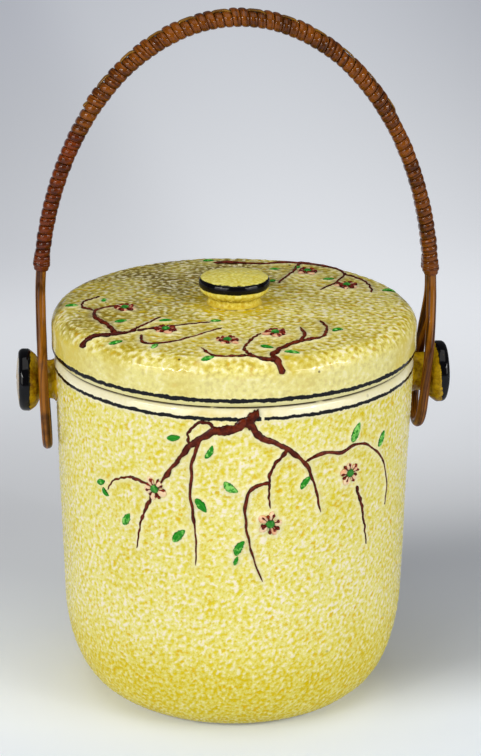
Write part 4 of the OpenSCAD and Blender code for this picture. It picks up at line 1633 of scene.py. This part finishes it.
@dataclass
class Handle:
    """The swinging handle: two hairpins of cane, bound over the arch with split strip.

    The arch is half an ellipse: (lean - half cos q, 0, spring + rise sin q), q from 0 on the left.
    A pair holds the sizes of the left and the right side.

    Attributes:
        lean: How far the arch's middle is to the right of the jar's axis.
        half: Half of the arch's width.
        rise: Height of the arch above its springing.
        spring: Height of the springing.
        hinge: Height of the ears' axis.
        cane: Radius of a cane.
        cane_offset: Half of the distance between the strands' middle lines where they lie together.
        loop: Half of that distance in the loop round the ear's neck.
        tails: How far the loops reach below the hinge.
        toes: How far the legs toe in, 60 mm below the springing.
        bows: Powers of that toeing in.
        collars: Heights of the collars above the hinge.
        collar_length: Length of a collar.
        turn_room: Length from a collar to the first turn.
        strip: Thickness of the strip.
        strip_gap: Gap between the strip and the canes.
        turns: Turns on the left arm, the crown and the right arm.
        turn_length: Length of one turn of the strip.
        leader_width: Width of the leader.
        leader_thick: Thickness of the leader.
        steps: Stations in a turn.
    """

    lean: float = 1.0
    half: float = 78.3
    rise: float = 112.2
    spring: float = 163.0
    hinge: float = 130.3
    cane: float = 2.0
    cane_offset: float = 2.15
    loop: float = 10.3
    tails: tuple[float, float] = (27.2, 21.3)
    toes: tuple[float, float] = (1.6, 4.6)
    bows: tuple[float, float] = (2.0, 1.2)
    collars: tuple[float, float] = (48.2, 43.6)
    collar_length: float = 3.8
    turn_room: float = 1.9
    strip: float = 0.9
    strip_gap: float = 0.15
    turns: tuple[int, int, int] = (16, 51, 16)
    turn_length: float = 24.9
    leader_width: float = 3.3
    leader_thick: float = 0.8
    steps: int = 22

    def __post_init__(self) -> None:
        """Works out the table of lengths along the arch and the pitch of the turns."""
        self.q_table = np.linspace(0, np.pi, 2000)
        self.s_table = lengths_along(self.arch(self.q_table))
        first, last = (self.length_at(h + self.collar_length / 2) + self.turn_room for h in self.collars)
        self.start = first
        self.pitch = (self.s_table[-1] - first - last) / sum(self.turns)

    def arch(self, q: Array) -> Array:
        """Returns points of the arch's middle line."""
        return grid(self.lean - self.half * np.cos(q), 0.0, self.spring + self.rise * np.sin(q))

    def length_at(self, height: float) -> float:
        """Returns the length from the springing up to a height above the hinge."""
        q = math.asin((height + self.hinge - self.spring) / self.rise)
        return float(np.interp(q, self.q_table, self.s_table))

    def frames(self, s: Array) -> tuple[Array, Array, Array]:
        """Finds places on the arch.

        Args:
            s: Lengths along the arch from the left springing.

        Returns:
            The points, the directions of travel and the outward directions.
        """
        q = np.interp(s, self.s_table, self.q_table)
        along = grid(self.half * np.sin(q), 0.0, self.rise * np.cos(q))
        along /= np.linalg.norm(along, axis=-1, keepdims=True)
        return self.arch(q), along, grid(-along[..., 2], 0.0, along[..., 0])

    def _spread(self, level: Array, part_level: float) -> Array:
        """Works out how far a hairpin's strands are from its middle plane.

        Args:
            level: Heights on the hairpin.
            part_level: Height where the strands begin to part.

        Returns:
            The distances, which ease from the cane offset to the loop.
        """
        apart = 1 - ease(level, self.hinge + 8, part_level)
        return self.cane_offset + (self.loop - self.cane_offset) * apart

    def hairpin(self, side: Side) -> Array:
        """Returns the middle line of one cane.

        It comes down the front from the crown, goes round in a half circle under the ear and up the
        back. Below the springing the leg toes in by toe x (depth / 60)^bow, and the strands part from
        the collar down to just above the ear by an eased step.

        Args:
            side: The cane's side.

        Returns:
            The line's points.
        """
        toe, bow = self.toes[side.index], self.bows[side.index]
        bend_level = self.hinge - self.tails[side.index] + self.loop
        part_level = self.hinge + self.collars[side.index] - self.collar_length / 2 - 2.5
        s = np.linspace(self.s_table[-1] / 2 - 0.2, 0, 160)
        arm = self.frames(s)[0]
        if side is Side.RIGHT:
            arm[:, 0] = 2 * self.lean - arm[:, 0]
        level = np.linspace(self.spring, bend_level, 70)[1:]
        angle = np.linspace(0, np.pi, 40)[1:-1]
        heights = np.concatenate([level, bend_level - self.loop * np.sin(angle), level[::-1]])
        legs_x = self.lean + side.value * (self.half - toe * ((self.spring - heights) / 60) ** bow)
        leg_spread = self._spread(level, part_level)
        legs_y = np.concatenate([-leg_spread, -self.loop * np.cos(angle), leg_spread[::-1]])
        front = grid(arm[:, 0], -self._spread(arm[:, 2], part_level), arm[:, 2])
        back = front[::-1] * [1, -1, 1]
        return spaced(np.concatenate([front, grid(legs_x, legs_y, heights), back]), 620)

    def round_cane(self, side: Side) -> MeshDraft:
        """Returns one cane as a round tube whose radius wanders a little.

        A ring's axes come from Y on the arms and X round the loop, made square to the direction of
        travel, so the tube never twists sharply.

        Args:
            side: The cane's side.

        Returns:
            The cane's draft.
        """
        path = self.hairpin(side)
        along = np.gradient(path, axis=0)
        along /= np.linalg.norm(along, axis=1, keepdims=True)
        share = (1 - ease(path[:, 2], self.hinge - 6, self.spring - 4))[:, None]
        first = (1 - share) * [0.0, 1.0, 0.0] + share * [1.0, 0.0, 0.0]
        first -= (first * along).sum(1, keepdims=True) * along
        first /= np.linalg.norm(first, axis=1, keepdims=True)
        second = np.cross(along, first)
        turn = np.linspace(0, 2 * np.pi, 18, endpoint=False)
        draw = np.random.default_rng(81 + side.value)
        radius = self.cane * (0.985 + 0.018 * wander(draw, 1, len(path), 9)[0])[:, None]
        ridge = 1 + 0.012 * np.sin(turn * 7 + 1.3) + 0.01 * np.sin(turn * 11)
        ring = (radius * ridge * np.cos(turn))[..., None] * first[:, None]
        ring = ring + (radius * ridge * np.sin(turn))[..., None] * second[:, None]
        s = lengths_along(path)[:, None]
        grain = grid(self.cane * np.cos(turn), self.cane * np.sin(turn) + 20 * side.value, s)
        ones = np.ones(ring.shape[:2])
        return MeshDraft().add(path[:, None] + ring, grain=grain, tone=0.5 * ones, crown=ones)

    def round_pair(self, share: Array, radius: Array | float) -> tuple[Array, Array, Array]:
        """Returns places on a line round both canes.

        The line has round ends and straight sides: its corner centre and its angle go piecewise
        along its length.

        Args:
            share: How far round, in turns, from the middle of the back end.
            radius: Distance of the line from the canes' centre lines.

        Returns:
            The centre's Y, and the cosine (along Y) and sine (outwards) of the angle.
        """
        arc, flat = math.pi * float(np.mean(radius)) / 2, 2 * self.cane_offset
        ends = np.cumsum([0, arc, flat, 2 * arc, flat, arc])
        c = self.cane_offset
        length = np.mod(share, 1) * ends[-1]
        centre = np.interp(length, ends, [c, c, -c, -c, c, c])
        angle = np.radians(np.interp(length, ends, [0, 90, 90, 270, 270, 360]))
        return centre, np.cos(angle), np.sin(angle)

    def leader_over(self, turn: Array) -> Array:
        """Returns 1 where the leader passes over the crown's turns and 0 where it passes under, by twos."""
        phase = np.mod(turn - self.turns[1] / 2, 4)
        return ease(phase, -0.5, 0.5) - ease(phase, 1.5, 2.5) + ease(phase, 3.5, 4.5)

    def winding(self, first_turn: int, count: int, woven: bool, seed: int) -> MeshDraft:
        """Returns one strip wound round the canes.

        A station's place is the arch's point plus the round-ended line about both canes, and its
        section is a crowned flat. Where the leader passes under, the turn rises by its thickness.

        Args:
            first_turn: Turns before this strip.
            count: Its turns.
            woven: Whether the leader is woven through it.
            seed: Start of the random numbers.

        Returns:
            The strip's draft.
        """
        draw = np.random.default_rng(seed)
        turn = np.linspace(0.02, count - 0.02, count * self.steps + 1)
        s = self.start + self.pitch * (first_turn + turn)
        point, along, out = self.frames(s)
        reach = self.cane + self.strip_gap + self.strip / 2
        centre, cos, sin = self.round_pair(turn, reach)
        sideways = centre + reach * cos
        shake = np.interp(turn, np.arange(count + 1), draw.uniform(-1, 1, count + 1))
        lift = 0.06 * shake + 0.05 * wander(draw, 1, len(turn), 12)[0]
        if woven:
            top = ease(sin, 0.3, 0.95) * (1 - ease(np.abs(sideways), 1.8, 3.4))
            share = ease(np.abs(turn - self.turns[1] / 2), 0.44 * count + 0.5, 0.44 * count - 0.5)
            lift = lift + 0.8 * top * (1 - self.leader_over(np.round(turn - 0.16))) * share
        normal = grid(0.0, cos, 0.0) + sin[:, None] * out
        middle = point + grid(0.0, centre, 0.0) + normal * ((reach + lift)[:, None])
        wide = self.pitch * 0.95 * (1 + 0.03 * shake[:, None])
        tilt = 0.05 * np.interp(turn, np.arange(count + 1), draw.uniform(-1, 1, count + 1))[:, None]
        across, crown = STRIP_SECTION.T
        height = crown * self.strip / 2 + tilt * across
        points = middle[:, None] + (wide * across)[..., None] * along[:, None]
        points = points + height[..., None] * normal[:, None]
        turn_grain = np.floor(turn)[:, None] * 3.7
        grain = grid(turn[:, None] * self.turn_length, across * wide, turn_grain)
        tone = np.interp(turn, np.arange(count + 1), draw.random(count + 1))[:, None] + 0 * across
        crown = np.clip(0.5 + crown / 2, 0, 1) + 0 * tone
        return MeshDraft().add(points, grain=grain, tone=tone, crown=crown)

    def leader(self) -> MeshDraft:
        """Makes the pale strip that weaves over two turns of the crown binding and under two.

        Returns:
            The strip's draft.
        """
        reach = 0.44 * self.turns[1]
        turn = np.linspace(self.turns[1] / 2 - reach, self.turns[1] / 2 + reach, 460)
        s = self.start + self.pitch * (self.turns[0] + turn)
        point, along, out = self.frames(s)
        over = self.leader_over(turn - 0.16)
        bound = self.cane + self.strip_gap + self.strip
        level = (self.cane + 0.45) * (1 - over) + (bound + 0.38) * over
        across, height = LEADER_SECTION[:, 0] * self.leader_width, LEADER_SECTION[:, 1] * self.leader_thick
        points = point[:, None] + (level[:, None] + height)[..., None] * out[:, None]
        points[..., 1] += across
        grain = grid(s[:, None], across, 0.0)
        ones = np.ones(points.shape[:2])
        return MeshDraft().add(points, grain=grain, tone=0.5 * ones, crown=ones)

    def collar(self, side: Side) -> MeshDraft:
        """Returns the thick finishing turns at the foot of an arm: beads that taper down the canes.

        A point is the arch's point plus the line round both canes, carried along the profile.

        Args:
            side: The collar's side.

        Returns:
            The collar's draft.
        """
        point, along, out = (v[0] for v in self.frames(np.array([self.length_at(self.collars[side.index])])))
        profile = COLLAR_PROFILE[::-1]
        if side is Side.RIGHT:
            point, along, out = (v * [-1, 1, 1] for v in (point, along, out))
            point[0] += 2 * self.lean
            profile = COLLAR_PROFILE
        share = np.linspace(0, 1, 72, endpoint=False)
        centre, cos, sin = (v[:, None] for v in self.round_pair(share, self.cane + 0.8))
        shake = 0.06 * wander(np.random.default_rng(17 + side.index), 1, len(share), 6)[0][:, None]
        offset = self.cane + profile[:, 1] + shake
        y, rise = centre + offset * cos, offset * sin
        length = profile[:, 0] + 0 * y
        points = point + grid(0.0, y, 0.0) + rise[..., None] * out + length[..., None] * along
        grain = grid(share[:, None] * 24, profile[:, 0], 0.0)
        ones = np.ones(points.shape[:2])
        return MeshDraft().add(points, ring_rows=True, grain=grain, tone=0.45 * ones, crown=ones)

    def build(self) -> None:
        """Builds the handle's pieces and hangs them on it."""
        finishes = {"cane": CANE, "strip": STRIP, "dark_strip": DARK_STRIP, "pale_strip": PALE_STRIP}
        dressed = {slot: finish.material(slot) for slot, finish in finishes.items()}
        left, crown, right = self.turns
        for draft, name, slot, node in (
            (self.round_cane(Side.LEFT), "left_cane_round", "cane", "left_cane"),
            (self.round_cane(Side.RIGHT), "right_cane_round", "cane", "right_cane"),
            (self.winding(0, left, False, 3), "left_winding", "dark_strip", "left_binding"),
            (self.winding(left, crown, True, 4), "crown_winding", "strip", "crown_binding"),
            (self.winding(left + crown, right, False, 5), "right_winding", "strip", "right_binding"),
            (self.leader(), "leader_ribbon", "pale_strip", "leader_strip"),
            (self.collar(Side.LEFT), "left_collar_wrap", "dark_strip", "left_collar"),
            (self.collar(Side.RIGHT), "right_collar_wrap", "strip", "right_collar"),
        ):
            place(draft, name, dressed[slot], "handle", slot, node)


# ---------------------------------------------------------------- studio


# Each lamp: name, azimuth, elevation, distance in metres, width and height in metres, and power.
LAMPS = (
    ("left_softbox", -50, 13, 1.5, (1.2, 0.6), 5.6),
    ("right_softbox", 53, 13, 1.6, (1.1, 0.6), 5.4),
    ("left_strip", -50, 29, 1.48, (1.1, 0.12), 6.6),
    ("right_strip", 52, 29, 1.58, (1.0, 0.12), 6.2),
    ("left_bulb", -44, 29, 1.44, (0.07, 0.16), 1.4),
    ("right_bulb", 47, 28, 1.54, (0.07, 0.16), 1.4),
    ("top_softbox", 0, 80, 1.4, (1.4, 1.2), 7.6),
)


@dataclass
class Studio:
    """The floor, the lamps, the pale surroundings and the camera.

    The camera's place and turns are in a frame that is turned from the jar's by the twist.

    Attributes:
        distance: Distance of the camera in front of the jar's axis.
        height: Height of the camera.
        pitch: How far it looks down, in degrees.
        pan: How far it looks to the right.
        roll: How far it is turned about its own line of sight.
        twist: How far it is moved round the jar.
        focal_pixels: Its focal length in pixels of the photograph.
    """

    distance: float = 845.953
    height: float = 422.132
    pitch: float = 19.111
    pan: float = 0.185
    roll: float = 0.411
    twist: float = 4.845
    focal_pixels: float = 2207.606

    def camera(self) -> None:
        """Adds the camera. Its axes are the right, the up and the backward direction of the view."""
        pan, pitch, roll = (math.radians(a) for a in (self.pan, self.pitch, self.roll))
        ahead = Vector((math.sin(pan) * math.cos(pitch), math.cos(pan) * math.cos(pitch), -math.sin(pitch)))
        level = Vector((math.cos(pan), -math.sin(pan), 0))
        rise = level.cross(ahead)
        right = math.cos(roll) * level + math.sin(roll) * rise
        up = math.cos(roll) * rise - math.sin(roll) * level
        turn = Matrix.Rotation(-math.radians(self.twist), 4, "Z")
        axes = Matrix((right, up, -ahead)).transposed().to_4x4()
        lens = bpy.data.cameras.new("camera")
        lens.sensor_fit = "VERTICAL"
        lens.sensor_height = 36.0
        lens.lens = self.focal_pixels * lens.sensor_height / PHOTO_HEIGHT
        lens.clip_start, lens.clip_end = 0.05, 30
        view = bpy.data.objects.new("camera", lens)
        place_at = Matrix.Translation(Vector((0, -self.distance, self.height)) * MM)
        view.matrix_world = turn @ place_at @ axes
        bpy.context.scene.collection.objects.link(view)
        bpy.context.scene.camera = view

    def lamp(
        self,
        name: str,
        azimuth: float,
        elevation: float,
        distance: float,
        size: tuple[float, float],
        watts: float,
    ) -> None:
        """Adds a softbox that faces the jar.

        Args:
            name: The lamp's name.
            azimuth: Its direction in degrees, 0 at the front.
            elevation: Its height in degrees above the jar's middle.
            distance: Its distance in metres.
            size: Its width and height in metres.
            watts: Its power.
        """
        light = bpy.data.lights.new(name, "AREA")
        light.shape, light.energy, light.color = "RECTANGLE", watts, (1.0, 0.985, 0.96)
        light.size, light.size_y = size
        box = bpy.data.objects.new(name, light)
        a, e = math.radians(azimuth), math.radians(elevation)
        to = Vector((math.sin(a) * math.cos(e), -math.cos(a) * math.cos(e), math.sin(e)))
        box.location = Vector((0, 0, 0.1)) + to * distance
        box.rotation_euler = to.to_track_quat("Z", "Y").to_euler()
        bpy.context.scene.collection.objects.link(box)

    def floor(self) -> None:
        """Adds the pale floor, which runs out of sight behind the jar and is a little greyer far off. Its
        colour holds a band of painted shadow behind the jar and the jar's painted shadow on its right.

        The camera also sees a glow on it, which stands for the bright paper. The glow is faint near the jar
        and stronger far off. It holds painted shadow beside the jar, a painted lift far to the right and
        painted shade towards the sides of the view.
        """
        reach = np.linspace(-5000, 5000, 41)
        rows = grid(reach[:, None], reach[None], -0.05)
        mesh = bpy.data.meshes.new("floor")
        index = np.arange(len(reach) ** 2).reshape(len(reach), -1)
        faces = np.stack([index[:-1, :-1], index[1:, :-1], index[1:, 1:], index[:-1, 1:]], -1).reshape(-1, 4)
        mesh.from_pydata((rows.reshape(-1, 3) * MM).tolist(), [], faces.tolist())
        plane = bpy.data.objects.new("floor", mesh)
        bpy.context.scene.collection.objects.link(plane)
        s = Shader("floor_paper")
        cos, sin = math.cos(math.radians(self.twist)), math.sin(math.radians(self.twist))
        x, y = s.axis("X"), s.axis("Y")
        across, depth = x * cos + y * sin, y * cos - x * sin + (s.noise(2.5, 1.0) - 0.5) * 40
        colour = s.mix(depth.ease(-70, -10), srgb(226, 233, 244), srgb(240, 245, 251))
        # Painted shadow: a darker band of floor just behind the jar.
        colour = s.mix(depth.ease(10, 190), colour, srgb(198, 200, 204))
        colour = s.mix(depth.ease(210, 560), colour, srgb(220, 222, 226))
        # Painted shadow of the jar on the floor to its right.
        shade = across.ease(34, 66) * depth.ease(-62, -8) * (1 - depth.ease(80, 180))
        colour = s.mix(shade * 0.55, colour, srgb(132, 136, 146))
        glow = s.mix(depth.ease(60, 520), srgb(78, 80, 82), srgb(148, 151, 155))
        glow = s.mix(depth.ease(800, 1700), glow, srgb(156, 159, 167))
        # Painted shadow in the glow beside the jar, and a painted lift far to the right.
        glow = s.mix(shade * 0.6, glow, srgb(30, 31, 34))
        glow = s.mix(across.ease(20, 120) * depth.ease(100, 260) * 0.5, glow, srgb(176, 179, 183))
        # Painted shade: the far glow dims towards the sides of the view.
        aside = (across / (depth + self.distance) - 0.11).size()
        glow = s.mix(aside.ease(0.0, 0.24) * depth.ease(380, 700) * 0.8, glow, srgb(80, 83, 92))
        rays = ("Is Camera Ray", "Is Glossy Ray", "Is Transmission Ray")
        direct, mirrored, through = (s.node("ShaderNodeLightPath", output=ray) for ray in rays)
        paper = s.node("ShaderNodeBsdfDiffuse", None, {"Color": colour})
        light = s.node("ShaderNodeEmission", None, {"Color": glow, "Strength": direct + mirrored + through})
        both = s.node("ShaderNodeAddShader", None, {0: paper, 1: light})
        s.node("ShaderNodeOutputMaterial", None, {"Surface": both}, output=None)
        mesh.materials.append(s.material)

    def surroundings(self) -> None:
        """Sets the even pale light from all round."""
        world = bpy.data.worlds.new("surroundings")
        bpy.context.scene.world = world
        world.use_nodes = True
        back = world.node_tree.nodes["Background"]
        back.inputs["Color"].default_value = srgb(232, 236, 246)
        back.inputs["Strength"].default_value = 0.15

    def build(self) -> None:
        """Builds the studio."""
        self.camera()
        self.floor()
        self.surroundings()
        for lamp in LAMPS:
            self.lamp(*lamp)
        bpy.context.scene.view_settings.view_transform = "Standard"


def main() -> None:
    """Builds the jar round its frame."""
    logging.basicConfig(level=logging.INFO, format="%(name)s %(message)s")
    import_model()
    Pot().build()
    Lid().build()
    Knob().build()
    for side in Side:
        Ear(side).build()
    Handle().build()
    Studio().build()
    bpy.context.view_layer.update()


if __name__ == "__main__":
    main()
